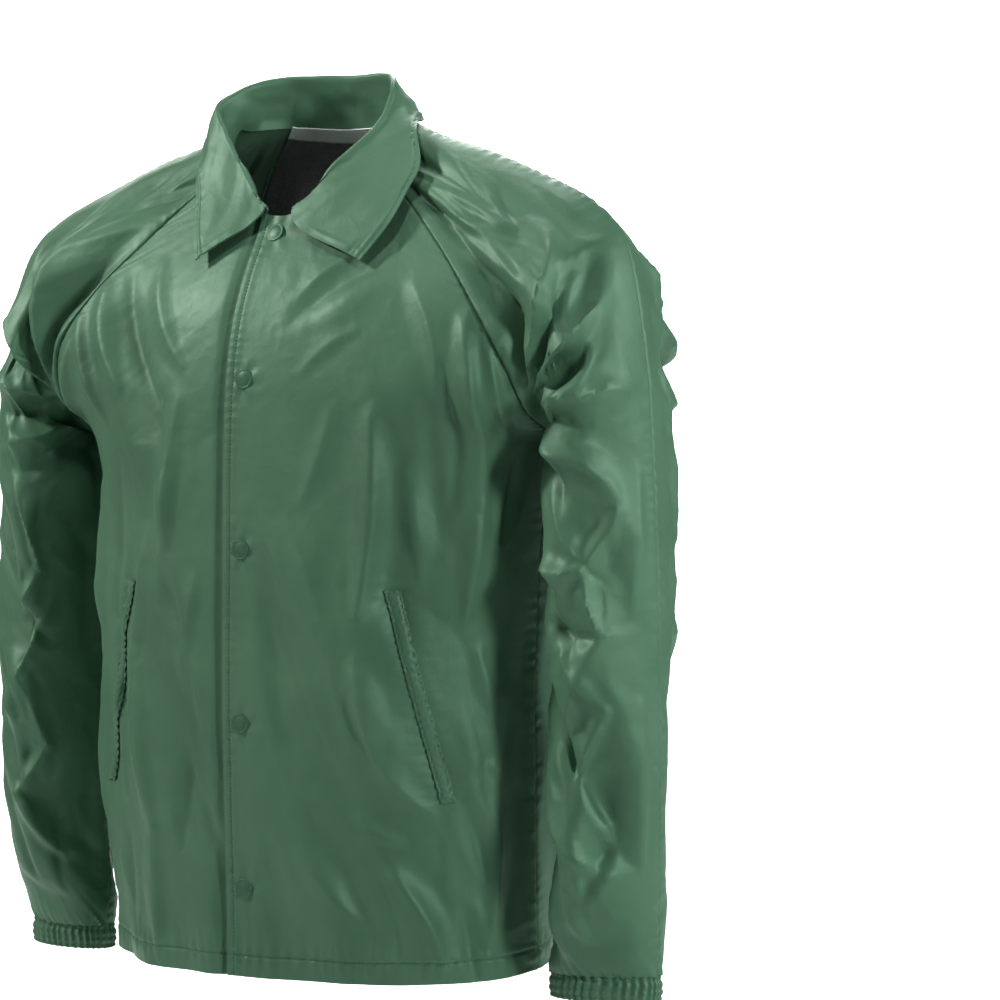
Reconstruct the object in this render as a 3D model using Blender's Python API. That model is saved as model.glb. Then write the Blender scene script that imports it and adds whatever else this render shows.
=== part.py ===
"""Coach jacket with raglan sleeves, in the shape it has when worn, hollow inside.

Metres, +Z up. The front faces -Y and the wearer's left arm is on +X. The origin is the middle of
the neck at shoulder height, where the wearer carries the jacket. Each cut piece of cloth is a thin
closed wall: its outer face comes from rows of curves that run across the body or round the sleeve.
"""

import math
from collections import namedtuple

import bmesh
import bpy
import numpy as np
from mathutils import Matrix, Vector

# Cloth and making up
WALL = 0.0016            # shell cloth with its turnings
SEAM_GAP = 0.0003        # between two pieces that are sewn together
EDGE_GAP = 0.0005        # between two layers that lie on each other
LAP = 0.019              # left front's edge past the centre line
UNDERLAP = 0.017         # right front's edge past the centre line, under the lap
SNAP_STRIP = 0.0105      # the lap is flat this far to each side of the snaps
DIP_KEPT = 0.0205        # the right front stays under the lap this far from the centre line
DIP_ENDS = 0.034         # and is back on the form here
NECK_LEAN = -0.009       # how far the neck sits towards the wearer's right
HEM_LIFT = 0.016         # how much higher the hem is behind than in front
HEM_LIFT_FROM = -0.50    # height that this lift starts from
SEAM_FADE = 0.022        # folds die out this near to a seam
PLACKET_FADE = 0.030     # and this near to the centre front

# Rows and columns of the cloth's grid
SIDE_ROWS = 15           # hem to armpit
RAGLAN_ROWS = 11         # armpit to neck
SLEEVE_ROWS = 17         # armpit to cuff
FRONT_COLUMNS = 14
BACK_COLUMNS = 24
SLEEVE_COLUMNS = 11

# Centre lines of the body: height, then distance from the middle of the body
CENTRE_FRONT = ((-0.750, -0.131), (-0.672, -0.133), (-0.525, -0.138), (-0.372, -0.137), (-0.290, -0.136),
                (-0.222, -0.132), (-0.165, -0.119), (-0.120, -0.099), (-0.092, -0.082), (-0.077, -0.075))
CENTRE_BACK = ((-0.750, 0.138), (-0.500, 0.138), (-0.350, 0.139), (-0.200, 0.136), (-0.120, 0.129),
               (-0.060, 0.116), (-0.020, 0.094), (0.010, 0.065))
# Side seam: height, distance from the centre, forward or back, how far the front's and back's rows run square
SIDE_SEAM = ((-0.750, 0.220, 0.004, 0.125, 0.084), (-0.600, 0.219, 0.003, 0.125, 0.088),
             (-0.450, 0.220, 0.002, 0.127, 0.094), (-0.360, 0.225, 0.002, 0.134, 0.100),
             (-0.300, 0.2320, 0.003, 0.142, 0.105), (-0.272, 0.237, 0.004, 0.145, 0.106))
HEM_HEIGHT, ARMPIT_HEIGHT = SIDE_SEAM[0][0], SIDE_SEAM[-1][0]
FRONT_CHEST, BACK_CHEST = -0.288, -0.270   # centre heights of the rows that end at the armpit
FRONT_NECK, BACK_NECK = CENTRE_FRONT[-1][0], CENTRE_BACK[-1][0]

# Raglan seams from the armpit to the neck: place, the way the body's row leaves the seam and how far,
# how far the same row runs square at the centre, the way the sleeve's row leaves the seam and how far
Seam = namedtuple("Seam", "x y z body_x body_y body_z body_reach centre_reach arm_x arm_y arm_z arm_reach")
RAGLAN_FRONT = (
    Seam(0.237, 0.004, -0.272, -0.05, -1.00, 0.00, 0.106, 0.145, 0.16, -1.00, 0.05, 0.118),
    Seam(0.246, -0.036, -0.2605, -0.22, -0.96, 0.00, 0.064, 0.140, 0.40, -0.90, 0.10, 0.095),
    Seam(0.250, -0.064, -0.250, -0.45, -0.89, 0.00, 0.046, 0.134, 0.50, -0.80, 0.30, 0.075),
    Seam(0.240, -0.094, -0.200, -0.94, -0.28, -0.12, 0.066, 0.114, 0.60, -0.55, 0.60, 0.060),
    Seam(0.201, -0.089, -0.143, -0.97, -0.22, -0.08, 0.070, 0.090, 0.50, -0.30, 0.80, 0.050),
    Seam(0.160, -0.070, -0.100, -0.95, -0.25, -0.15, 0.055, 0.070, 0.35, -0.05, 0.93, 0.040),
    Seam(0.122, -0.052, -0.064, -0.90, -0.35, -0.25, 0.040, 0.050, 0.20, 0.25, 0.95, 0.028),
    Seam(0.085, -0.036, -0.033, -0.80, -0.50, -0.33, 0.028, 0.030, 0.15, 0.60, 0.75, 0.020),
)
RAGLAN_BACK = (
    Seam(0.237, 0.004, -0.272, -0.05, 1.00, 0.00, 0.106, 0.145, 0.16, 1.00, 0.05, 0.104),
    Seam(0.246, 0.040, -0.2610, -0.25, 0.96, 0.00, 0.066, 0.140, 0.42, 0.90, 0.10, 0.098),
    Seam(0.249, 0.072, -0.250, -0.50, 0.86, 0.00, 0.050, 0.134, 0.50, 0.80, 0.30, 0.075),
    Seam(0.232, 0.101, -0.195, -0.94, 0.28, -0.10, 0.072, 0.114, 0.60, 0.45, 0.60, 0.060),
    Seam(0.208, 0.112, -0.150, -0.97, 0.22, 0.02, 0.080, 0.100, 0.60, 0.10, 0.75, 0.050),
    Seam(0.180, 0.110, -0.109, -0.98, 0.18, 0.04, 0.075, 0.090, 0.50, -0.20, 0.80, 0.045),
    Seam(0.143, 0.092, -0.060, -0.97, 0.22, 0.08, 0.060, 0.070, 0.40, -0.60, 0.60, 0.035),
    Seam(0.105, 0.069, -0.020, -0.95, 0.30, 0.05, 0.045, 0.050, 0.35, -0.85, 0.25, 0.025),
    Seam(0.067, 0.046, 0.013, -0.93, 0.36, -0.02, 0.030, 0.035, 0.30, -0.90, 0.00, 0.014),
)
# Seam over the arm, beside the raglan seams: share of the way up from the armpit row, place,
# the way the front's and back's rows leave it (forward or back is 1), and how far each of them
Over = namedtuple("Over", "share x y z lean drop front back")
OVERARM = (
    Over(0.000, 0.344, -0.014, -0.225, 0.00, -0.10, 0.118, 0.104),
    Over(0.117, 0.332, -0.012, -0.152, 0.03, -0.22, 0.106, 0.094),
    Over(0.201, 0.321, -0.010, -0.110, 0.05, -0.28, 0.094, 0.085),
    Over(0.363, 0.288, -0.006, -0.069, 0.07, -0.25, 0.072, 0.069),
    Over(0.549, 0.231, -0.001, -0.041, 0.05, -0.16, 0.051, 0.051),
    Over(0.716, 0.178, 0.002, -0.020, 0.02, -0.10, 0.036, 0.036),
    Over(0.864, 0.132, 0.004, -0.006, 0.00, -0.08, 0.026, 0.026),
    Over(1.000, 0.092, 0.005, 0.010, 0.00, -0.08, 0.016, 0.016),
)
# Sleeve from the armpit row down to the cuff: share of the way, outer and inner line, depth fore and aft
Tube = namedtuple("Tube", "share over_x over_y over_z under_x under_y under_z front back")
SLEEVE = (
    Tube(0.00, 0.344, -0.014, -0.225, 0.237, 0.004, -0.272, 0.118, 0.104),
    Tube(0.12, 0.349, -0.016, -0.290, 0.2390, -0.004, -0.318, 0.108, 0.096),
    Tube(0.30, 0.353, -0.015, -0.385, 0.2370, -0.010, -0.400, 0.100, 0.090),
    Tube(0.50, 0.354, -0.014, -0.490, 0.2350, -0.012, -0.495, 0.095, 0.086),
    Tube(0.75, 0.352, -0.011, -0.610, 0.2380, -0.011, -0.610, 0.087, 0.082),
    Tube(0.90, 0.348, -0.004, -0.690, 0.2440, -0.010, -0.690, 0.074, 0.072),
    Tube(1.00, 0.343, 0.004, -0.738, 0.2470, -0.014, -0.738, 0.036, 0.036),
)


CUFF_TOP, CUFF_BOTTOM = -0.7385, -0.7600
CUFF_CENTRE = (0.295, -0.005)
CUFF_HALF_WIDTH, CUFF_HALF_DEPTH, CUFF_TURN = 0.049, 0.025, 0.19   # the ring is turned this many radians
CUFF_GATHERS, CUFF_WAVE, CUFF_WALL = 24, 0.0016, 0.0020
CUFF_MIDDLE = (CUFF_TOP + CUFF_BOTTOM) / 2
CUFF_RINGS = ((CUFF_BOTTOM, 0.0), (CUFF_MIDDLE, 0.0020), (CUFF_TOP, -0.0010))   # height, how much wider

# Folds: two ends, each as length from the centre front, centre back or overarm seam and height;
# then width and depth, outwards
Fold = namedtuple("Fold", "along_1 height_1 along_2 height_2 width depth")
FRONT_LEFT_FOLDS = (
    Fold(0.128, -0.250, 0.117, -0.430, 0.022, 0.0060),
    Fold(0.112, -0.470, 0.152, -0.560, 0.022, 0.0060),
    Fold(0.150, -0.280, 0.146, -0.440, 0.022, -0.0050),
    Fold(0.213, -0.170, 0.220, -0.420, 0.022, 0.0060),
    Fold(0.182, -0.230, 0.190, -0.380, 0.022, -0.0050),
    Fold(0.215, -0.450, 0.236, -0.720, 0.024, 0.0060),
    Fold(0.130, -0.620, 0.186, -0.735, 0.022, 0.0060),
    Fold(0.080, -0.600, 0.140, -0.735, 0.026, -0.0050),
    Fold(0.070, -0.180, 0.135, -0.125, 0.020, 0.0035),
)
FRONT_RIGHT_FOLDS = (
    Fold(0.185, -0.150, 0.130, -0.300, 0.022, 0.0055),
    Fold(0.145, -0.140, 0.085, -0.300, 0.022, -0.0045),
    Fold(0.075, -0.290, 0.110, -0.440, 0.022, 0.0055),
    Fold(0.128, -0.460, 0.105, -0.730, 0.022, 0.0055),
    Fold(0.150, -0.320, 0.165, -0.560, 0.022, -0.0050),
    Fold(0.205, -0.330, 0.215, -0.700, 0.022, 0.0055),
    Fold(0.070, -0.560, 0.060, -0.720, 0.024, -0.0045),
)
BACK_FOLDS = (
    Fold(0.225, -0.210, 0.150, -0.420, 0.022, 0.0060),
    Fold(0.150, -0.430, 0.120, -0.700, 0.024, 0.0060),
    Fold(0.195, -0.330, 0.180, -0.650, 0.022, -0.0055),
    Fold(0.230, -0.330, 0.235, -0.700, 0.022, 0.0055),
    Fold(0.080, -0.300, 0.060, -0.600, 0.026, -0.0040),
    Fold(-0.225, -0.210, -0.165, -0.400, 0.022, 0.0060),
    Fold(-0.160, -0.420, -0.150, -0.700, 0.024, 0.0060),
    Fold(-0.200, -0.300, -0.195, -0.640, 0.022, -0.0055),
    Fold(-0.235, -0.340, -0.225, -0.700, 0.022, 0.0055),
    Fold(-0.060, -0.320, -0.090, -0.620, 0.026, -0.0040),
)
SLEEVE_FRONT_LEFT_FOLDS = (
    Fold(0.165, -0.240, 0.085, -0.110, 0.018, 0.0060),
    Fold(0.130, -0.240, 0.050, -0.120, 0.016, -0.0050),
    Fold(0.150, -0.270, 0.045, -0.190, 0.018, 0.0060),
    Fold(0.110, -0.270, 0.070, -0.330, 0.018, -0.0050),
    Fold(0.135, -0.330, 0.060, -0.400, 0.020, 0.0055),
    Fold(0.060, -0.420, 0.110, -0.520, 0.020, 0.0050),
    Fold(0.090, -0.400, 0.130, -0.460, 0.018, -0.0045),
    Fold(0.060, -0.520, 0.060, -0.640, 0.020, -0.0045),
    Fold(0.095, -0.570, 0.080, -0.690, 0.020, 0.0050),
)
SLEEVE_BACK_LEFT_FOLDS = (
    Fold(0.165, -0.240, 0.080, -0.110, 0.018, 0.0060),
    Fold(0.130, -0.250, 0.045, -0.150, 0.016, -0.0050),
    Fold(0.140, -0.290, 0.050, -0.210, 0.018, 0.0055),
    Fold(0.060, -0.250, 0.055, -0.430, 0.018, 0.0055),
    Fold(0.100, -0.320, 0.100, -0.500, 0.020, -0.0050),
    Fold(0.050, -0.500, 0.090, -0.640, 0.020, 0.0055),
    Fold(0.120, -0.560, 0.080, -0.700, 0.020, -0.0050),
)
SLEEVE_FRONT_RIGHT_FOLDS = (
    Fold(0.165, -0.235, 0.095, -0.120, 0.018, 0.0060),
    Fold(0.135, -0.250, 0.070, -0.160, 0.016, -0.0050),
    Fold(0.150, -0.290, 0.080, -0.260, 0.018, 0.0055),
    Fold(0.090, -0.300, 0.135, -0.400, 0.020, 0.0055),
    Fold(0.060, -0.380, 0.100, -0.460, 0.020, -0.0050),
    Fold(0.135, -0.440, 0.070, -0.540, 0.020, 0.0055),
    Fold(0.080, -0.590, 0.130, -0.660, 0.020, 0.0055),
    Fold(0.100, -0.520, 0.120, -0.610, 0.018, -0.0045),
)
SLEEVE_BACK_RIGHT_FOLDS = (
    Fold(0.165, -0.235, 0.085, -0.120, 0.018, 0.0060),
    Fold(0.135, -0.250, 0.055, -0.160, 0.016, -0.0050),
    Fold(0.060, -0.260, 0.070, -0.400, 0.018, 0.0055),
    Fold(0.110, -0.340, 0.105, -0.480, 0.020, -0.0050),
    Fold(0.050, -0.480, 0.095, -0.600, 0.020, 0.0055),
    Fold(0.115, -0.580, 0.075, -0.690, 0.020, -0.0050),
)
FOLD_END = 0.35          # a fold's depth at its two ends, as a share of that at its middle
SLEEVE_END_PLEAT, SLEEVE_END_FADE = 0.0035, 0.045   # gathers above the cuff: depth, and height they die out in

# Collar, from the right front end over the back of the neck to the left: place along the neck seam from the
# centre back (1 is the centre front), the fold, and the fall's outer edge
Section = namedtuple("Section", "along fold_x fold_y fold_z edge_x edge_y edge_z")
COLLAR = (
    Section(-0.945, -0.015, -0.0775, -0.0690, -0.073, -0.1050, -0.1160),
    Section(-0.880, -0.034, -0.0680, -0.0530, -0.086, -0.0890, -0.0930),
    Section(-0.780, -0.058, -0.0560, -0.0280, -0.099, -0.0690, -0.0630),
    Section(-0.640, -0.086, -0.0420, 0.0040, -0.111, -0.0500, -0.0330),
    Section(-0.520, -0.104, -0.0260, 0.0290, -0.121, -0.0180, -0.0010),
    Section(-0.420, -0.096, 0.0050, 0.0460, -0.117, 0.0120, 0.0090),
    Section(-0.300, -0.076, 0.0320, 0.0545, -0.092, 0.0500, 0.0110),
    Section(-0.160, -0.044, 0.0500, 0.0560, -0.052, 0.0750, 0.0120),
    Section(0.000, -0.009, 0.0540, 0.0560, -0.008, 0.0830, 0.0120),
    Section(0.160, 0.026, 0.0480, 0.0560, 0.037, 0.0730, 0.0120),
    Section(0.300, 0.049, 0.0300, 0.0520, 0.070, 0.0480, 0.0120),
    Section(0.420, 0.064, 0.0080, 0.0400, 0.088, 0.0160, 0.0105),
    Section(0.520, 0.067, -0.0130, 0.0120, 0.106, -0.0170, 0.0000),
    Section(0.640, 0.061, -0.0400, -0.0100, 0.126, -0.0410, -0.0300),
    Section(0.780, 0.044, -0.0620, -0.0360, 0.125, -0.0600, -0.0570),
    Section(0.880, 0.027, -0.0720, -0.0580, 0.118, -0.0830, -0.0900),
    Section(0.945, 0.013, -0.0775, -0.0700, 0.1010, -0.0990, -0.1190),
)
COLLAR_WALL, COLLAR_ROWS, FALL_COLUMNS = 0.0018, 40, 4
COLLAR_TURN = 0.0020     # radius of the fold, at the middle of the wall
FALL_DROP, FALL_SPREAD = 0.22, 0.10   # how far the fall runs down and outwards as it leaves the fold,
EDGE_BACK, EDGE_SPREAD = 0.36, 0.08   # and back and outwards before its edge, as shares of its reach
STAND_OFF = 0.0010       # from the neck seam to the middle of the stand's lower edge

# Lining: it hangs off the back by a little more lower down, clear of the folds
LINING_WALL, LINING_GAP, LINING_HEM = 0.0012, 0.0006, -0.715
LINING_LOOSE, LINING_LOOSE_FROM, LINING_LOOSE_OVER = 0.0075, -0.100, 0.110
LINING_SIDE_INSET, LINING_COLUMNS = 0.006, 12

# Welt of the left pocket: its two long edges at the top and at the bottom, as length from the centre front
WELT_TOP, WELT_BOTTOM = -0.405, -0.590
WELT_TOP_EDGES, WELT_BOTTOM_EDGES = (0.139, 0.153), (0.187, 0.201)
WELT_WALL, WELT_GAP, WELT_ROWS = 0.0012, 0.0008, 9

SNAP_HEIGHTS = (-0.092, -0.222, -0.372, -0.525, -0.672)
SNAP_RADIUS, SNAP_GAP, SNAP_SEGMENTS = 0.0088, 0.0003, 20
SNAP_PROFILE = ((1.0, 0.0), (1.0, 0.0009), (0.9, 0.0016), (0.5, 0.0021))   # share of the radius, height

# Finishes: colour, roughness
SHELL_FINISH = ((0.055, 0.165, 0.085), 0.42)
LINING_FINISH = ((0.55, 0.58, 0.56), 0.95)
SNAP_FINISH = ((0.050, 0.150, 0.078), 0.25)

def spline(knots, values, at):
    """Smooth curve through a table: cubic between rows, with each slope taken from the rows beside it."""
    knots, values, at = np.asarray(knots, float), np.asarray(values, float), np.atleast_1d(at).astype(float)
    if values.ndim == 1:
        values = values[:, None]
    steps = np.diff(knots)[:, None]
    rises = np.diff(values, axis=0) / steps
    slopes = np.empty_like(values)
    slopes[1:-1] = (rises[:-1] * steps[1:] + rises[1:] * steps[:-1]) / (steps[1:] + steps[:-1])
    slopes[0], slopes[-1] = rises[0], rises[-1]
    place = np.clip(np.searchsorted(knots, at) - 1, 0, len(knots) - 2)
    step = steps[place]
    t = ((at - knots[place])[:, None]) / step
    start, end = values[place], values[place + 1]
    out, into = slopes[place] * step, slopes[place + 1] * step
    return ((2 * t**3 - 3 * t**2 + 1) * start + (t**3 - 2 * t**2 + t) * out
            + (3 * t**2 - 2 * t**3) * end + (t**3 - t**2) * into)


def lengths_along(points):
    """Length of the way to each point of a line."""
    return np.concatenate([[0.0], np.cumsum(np.linalg.norm(np.diff(points, axis=0), axis=1))])


def seam_line(table):
    """Knots of a raglan seam as shares of its length, and its rows as numbers."""
    rows = np.array(table, float)
    way = lengths_along(rows[:, :3])
    return way / way[-1], rows


def curve_row(start, out, into, end, count=33):
    """Points on the cubic curve that leaves start towards out and comes to end from into."""
    t = np.linspace(0, 1, count)[:, None]
    return (1 - t) ** 3 * start + 3 * t * (1 - t) ** 2 * out + 3 * t**2 * (1 - t) * into + t**3 * end


def body_row(half, level):
    """One row of the body's left half, from the centre line to the side seam or raglan seam.

    half is -1 for the front and 1 for the back; level runs 0 to 1 up the side seam and 1 to 2 up the raglan."""
    centre = CENTRE_FRONT if half < 0 else CENTRE_BACK
    chest, neck = (FRONT_CHEST, FRONT_NECK) if half < 0 else (BACK_CHEST, BACK_NECK)
    heights, depths = np.array(centre).T
    if level <= 1:
        centre_height = HEM_HEIGHT + (chest - HEM_HEIGHT) * level
        side = np.array(SIDE_SEAM)
        side_height = HEM_HEIGHT + (ARMPIT_HEIGHT - HEM_HEIGHT) * level
        x, y, centre_reach, side_reach = spline(side[:, 0], side[:, 1:], side_height)[0]
        edge = np.array([x, y, side_height])
        into = edge + side_reach * np.array([0.0, half, 0.0])
    else:
        centre_height = chest + (neck - chest) * (level - 1)
        shares, rows = seam_line(RAGLAN_FRONT if half < 0 else RAGLAN_BACK)
        row = Seam(*spline(shares, rows, level - 1)[0])
        edge = np.array([row.x, row.y, row.z])
        away = np.array([row.body_x, row.body_y, row.body_z])
        into = edge + row.body_reach * away / np.linalg.norm(away)
        centre_reach = row.centre_reach
    start = np.array([0.0, spline(heights, depths, centre_height)[0, 0], centre_height])
    return curve_row(start, start + [centre_reach, 0.0, 0.0], into, edge)


def sleeve_row(half, level):
    """One row of the left sleeve's front (half -1) or back (1) part, from the overarm seam to its other edge.

    level runs -1 to 0 from the neck down the raglan seam and 0 to 1 down the arm."""
    if level < 0:
        share = -level
        shares, rows = seam_line(RAGLAN_FRONT if half < 0 else RAGLAN_BACK)
        row = Seam(*spline(shares, rows, share)[0])
        over = Over(share, *spline([o.share for o in OVERARM], [o[1:] for o in OVERARM], share)[0])
        start = np.array([over.x, over.y, over.z])
        leave = np.array([over.lean, half, over.drop])
        edge = np.array([row.x, row.y, row.z])
        away = np.array([row.arm_x, row.arm_y, row.arm_z])
        out = start + (over.front if half < 0 else over.back) * leave / np.linalg.norm(leave)
        into = edge + row.arm_reach * away / np.linalg.norm(away)
        return curve_row(start, out, into, edge)
    tube = Tube(level, *spline([s.share for s in SLEEVE], [s[1:] for s in SLEEVE], level)[0])
    start = np.array([tube.over_x, tube.over_y, tube.over_z])
    edge = np.array([tube.under_x, tube.under_y, tube.under_z])
    reach = half * (tube.front if half < 0 else tube.back)
    fade = max(0.0, 1 - level / 0.12)
    out = start + np.array([0.0, reach, -0.012 * fade])
    into = edge + np.array([0.006 * fade, reach, 0.006 * fade])
    return curve_row(start, out, into, edge)


def at_lengths(row, lengths):
    """Points of a row at these lengths from its start; a length below 0 is on the mirrored half."""
    way = lengths_along(row)
    found = np.stack([np.interp(np.abs(lengths), way, row[:, k]) for k in range(3)], axis=1)
    found[:, 0] = np.where(lengths < 0, -found[:, 0], found[:, 0])
    return found


def eased(t):
    """0 to 1, leaving and arriving smoothly."""
    t = np.clip(t, 0, 1)
    return t * t * (3 - 2 * t)


def lean(points):
    """Moves the neck a little towards the wearer's right, as the jacket hangs."""
    moved = np.array(points)
    moved[..., 0] += NECK_LEAN * eased((moved[..., 2] + 0.12) / 0.13)
    return moved


def settled(points):
    """The body's own hang: the neck leans, and the hem lifts towards the back."""
    moved = lean(points)
    behind = eased((moved[..., 1] - CENTRE_FRONT[0][1]) / (CENTRE_BACK[0][1] - CENTRE_FRONT[0][1]))
    near_hem = np.clip((moved[..., 2] - HEM_LIFT_FROM) / (HEM_HEIGHT - HEM_LIFT_FROM), 0, 1)
    moved[..., 2] += HEM_LIFT * behind * near_hem
    return moved


def side_levels():
    """Levels of a body panel's rows, hem to neck."""
    lower = np.linspace(0, 1, SIDE_ROWS + 1)
    return np.concatenate([lower, 1 + np.linspace(0, 1, RAGLAN_ROWS + 1)[1:]])


def sleeve_levels():
    """Levels of a sleeve panel's rows, cuff to neck."""
    arm = np.linspace(1, 0, SLEEVE_ROWS + 1)
    return np.concatenate([arm, -np.linspace(0, 1, RAGLAN_ROWS + 1)[1:]])


def unit(vectors):
    return vectors / np.maximum(np.linalg.norm(vectors, axis=-1, keepdims=True), 1e-12)


class Panel:
    """One cut piece as a grid: rows go up, and columns go from left to right as seen from outside."""

    def __init__(self, name, points, lengths, edges):
        self.name = name
        self.points = points          # outer face, row by row
        self.lengths = lengths        # each point's length from the centre line or overarm seam
        self.edges = edges            # which of "bottom top first last" are sewn
        self.normals = self.face_normals()
        self.creased = np.zeros(points.shape[:2])   # 1 where the sewn edge lies in a deep crease

    def face_normals(self):
        """Outward direction at each point of the grid."""
        first, second = self.points[1:, 1:] - self.points[:-1, :-1], self.points[1:, :-1] - self.points[:-1, 1:]
        facing = np.pad(np.cross(first, second), ((1, 1), (1, 1), (0, 0)))
        return unit(facing[1:, 1:] + facing[1:, :-1] + facing[:-1, 1:] + facing[:-1, :-1])

    def from_seam(self):
        """Length along the surface from each point to the nearest sewn side edge."""
        steps = np.linalg.norm(np.diff(self.points, axis=1), axis=2)
        way = np.concatenate([np.zeros((len(steps), 1)), np.cumsum(steps, axis=1)], axis=1)
        near = np.full(way.shape, 1.0)
        if "first" in self.edges:
            near = np.minimum(near, way)
        if "last" in self.edges:
            near = np.minimum(near, way[:, -1:] - way)
        return near

    def fold(self, folds, fade):
        """Moves the points along their normals by each fold's ridge or hollow."""
        heights = self.points[..., 2]
        moved = np.zeros(heights.shape)
        for fold in folds:
            start = np.array([fold.along_1, fold.height_1])
            run = np.array([fold.along_2, fold.height_2]) - start
            place = np.stack([self.lengths, heights], axis=-1) - start
            share = np.clip(place @ run / (run @ run), 0, 1)
            away = np.linalg.norm(place - share[..., None] * run, axis=-1)
            ends = FOLD_END + (1 - FOLD_END) * np.sin(math.pi * share)
            moved += fold.depth * np.exp(-((away / fold.width) ** 2) * 2) * ends
        self.points = self.points + self.normals * (moved * fade)[..., None]
        self.normals = self.face_normals()

    def at(self, length, height):
        """Point and outward direction on the panel at this length along a row and this height."""
        found = []
        for row, normals, lengths in zip(self.points, self.normals, self.lengths):
            order = np.argsort(lengths)
            found.append([np.interp(length, lengths[order], values[order]) for values in [*row.T, *normals.T]])
        found = np.array(found)
        order = np.argsort(found[:, 2])
        values = [np.interp(height, found[order, 2], found[order, k]) for k in range(6)]
        return np.array(values[:3]), unit(np.array(values[3:]))


def spaced(start, *stops):
    """Numbers from start through each (stop, steps) in turn, evenly spaced between."""
    numbers = [start]
    for stop, steps in stops:
        numbers += list(np.linspace(numbers[-1], stop, steps + 1)[1:])
    return np.array(numbers)


def front_panel(name, side):
    """Left front (side 1), which laps over, or right front (side -1), whose edge dips under it."""
    rows, lengths = [], []
    for level in side_levels():
        row = body_row(-1, level)
        reach = lengths_along(row)[-1]
        if side > 0:
            across = spaced(-LAP, (SNAP_STRIP, 2), (reach, FRONT_COLUMNS - 2))
        else:
            across = spaced(-UNDERLAP, (0.0, 1), (DIP_KEPT, 1), (DIP_ENDS, 1), (reach, FRONT_COLUMNS - 3))
        rows.append(at_lengths(row, across))
        lengths.append(across)
    points, lengths = np.array(rows), np.array(lengths)
    if side < 0:
        points = (points * [-1, 1, 1])[:, ::-1]
        lengths = lengths[:, ::-1]
    edges = ("top", "last") if side > 0 else ("top", "first")
    panel = Panel(name, settled(points), lengths, edges)
    past_placket = eased((lengths - PLACKET_FADE / 2) / PLACKET_FADE)
    fade = eased(panel.from_seam() / SEAM_FADE) * past_placket
    panel.fold(FRONT_LEFT_FOLDS if side > 0 else FRONT_RIGHT_FOLDS, fade)
    if side < 0:
        under = 1 - eased((lengths - DIP_KEPT) / (DIP_ENDS - DIP_KEPT))
        panel.points = panel.points - panel.normals * (under * (WALL + EDGE_GAP))[..., None]
    return panel


def back_panel():
    rows, lengths = [], []
    for level in side_levels():
        row = body_row(1, level)
        reach = lengths_along(row)[-1]
        across = np.linspace(reach, -reach, BACK_COLUMNS + 1)
        rows.append(at_lengths(row, across))
        lengths.append(across)
    points, lengths = np.array(rows), np.array(lengths)
    panel = Panel("back", settled(points), lengths, ("top", "first", "last"))
    panel.fold(BACK_FOLDS, eased(panel.from_seam() / SEAM_FADE))
    return panel


def sleeve_panel(name, half, side, folds):
    """Front (half -1) or back (1) part of the left (side 1) or right (-1) sleeve."""
    rows, lengths, levels = [], [], sleeve_levels()
    for level in levels:
        row = sleeve_row(half, level)
        across = np.linspace(lengths_along(row)[-1], 0, SLEEVE_COLUMNS + 1)
        rows.append(at_lengths(row, across))
        lengths.append(across)
    points, lengths = np.array(rows), np.array(lengths)
    if side < 0:
        points = points * [-1, 1, 1]
    if half * side > 0:
        points, lengths = points[:, ::-1], lengths[:, ::-1]
    panel = Panel(name, lean(points), lengths, ("bottom", "top", "first", "last"))
    seam_fade = eased(panel.from_seam() / SEAM_FADE)
    panel.fold(folds, seam_fade)
    end = 1 - eased((panel.points[..., 2] - CUFF_TOP) / SLEEVE_END_FADE)
    pleat = SLEEVE_END_PLEAT * np.where(np.arange(SLEEVE_COLUMNS + 1) % 2, 1.0, -0.4)
    panel.points = panel.points + panel.normals * (end * pleat * seam_fade)[..., None]
    panel.normals = panel.face_normals()
    return panel


def join_normals(panels):
    """Gives sewn edges one direction where two panels meet smoothly, and leaves a deep crease to each panel."""
    rims = []
    for panel in panels:
        rows, columns = panel.points.shape[:2]
        for i in range(rows):
            for j in range(columns):
                if i in (0, rows - 1) or j in (0, columns - 1):
                    rims.append((panel, i, j))
    places = np.array([panel.points[i, j] for panel, i, j in rims])
    directions = np.array([panel.normals[i, j] for panel, i, j in rims])
    for (panel, i, j), place, own in zip(rims, places, directions):
        near = np.linalg.norm(places - place, axis=1) < 1e-4
        alike = eased((directions[near] @ own + 0.2) / 0.7)
        joined = (directions[near] * alike[:, None]).sum(axis=0)
        panel.normals[i, j] = unit(joined)
        panel.creased[i, j] = 1 - alike.min()


def draw_in(panel):
    """Pulls each edge in along the panel by half of the seam's gap."""
    points = panel.points.copy()
    half_gap = SEAM_GAP / 2
    for edge, inner in ((0, 1), (-1, -2)):
        points[edge] += half_gap * unit(panel.points[inner] - panel.points[edge])
        points[:, edge] += half_gap * unit(panel.points[:, inner] - panel.points[:, edge])
    points -= panel.normals * (panel.creased * half_gap)[..., None]
    panel.points = points


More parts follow.
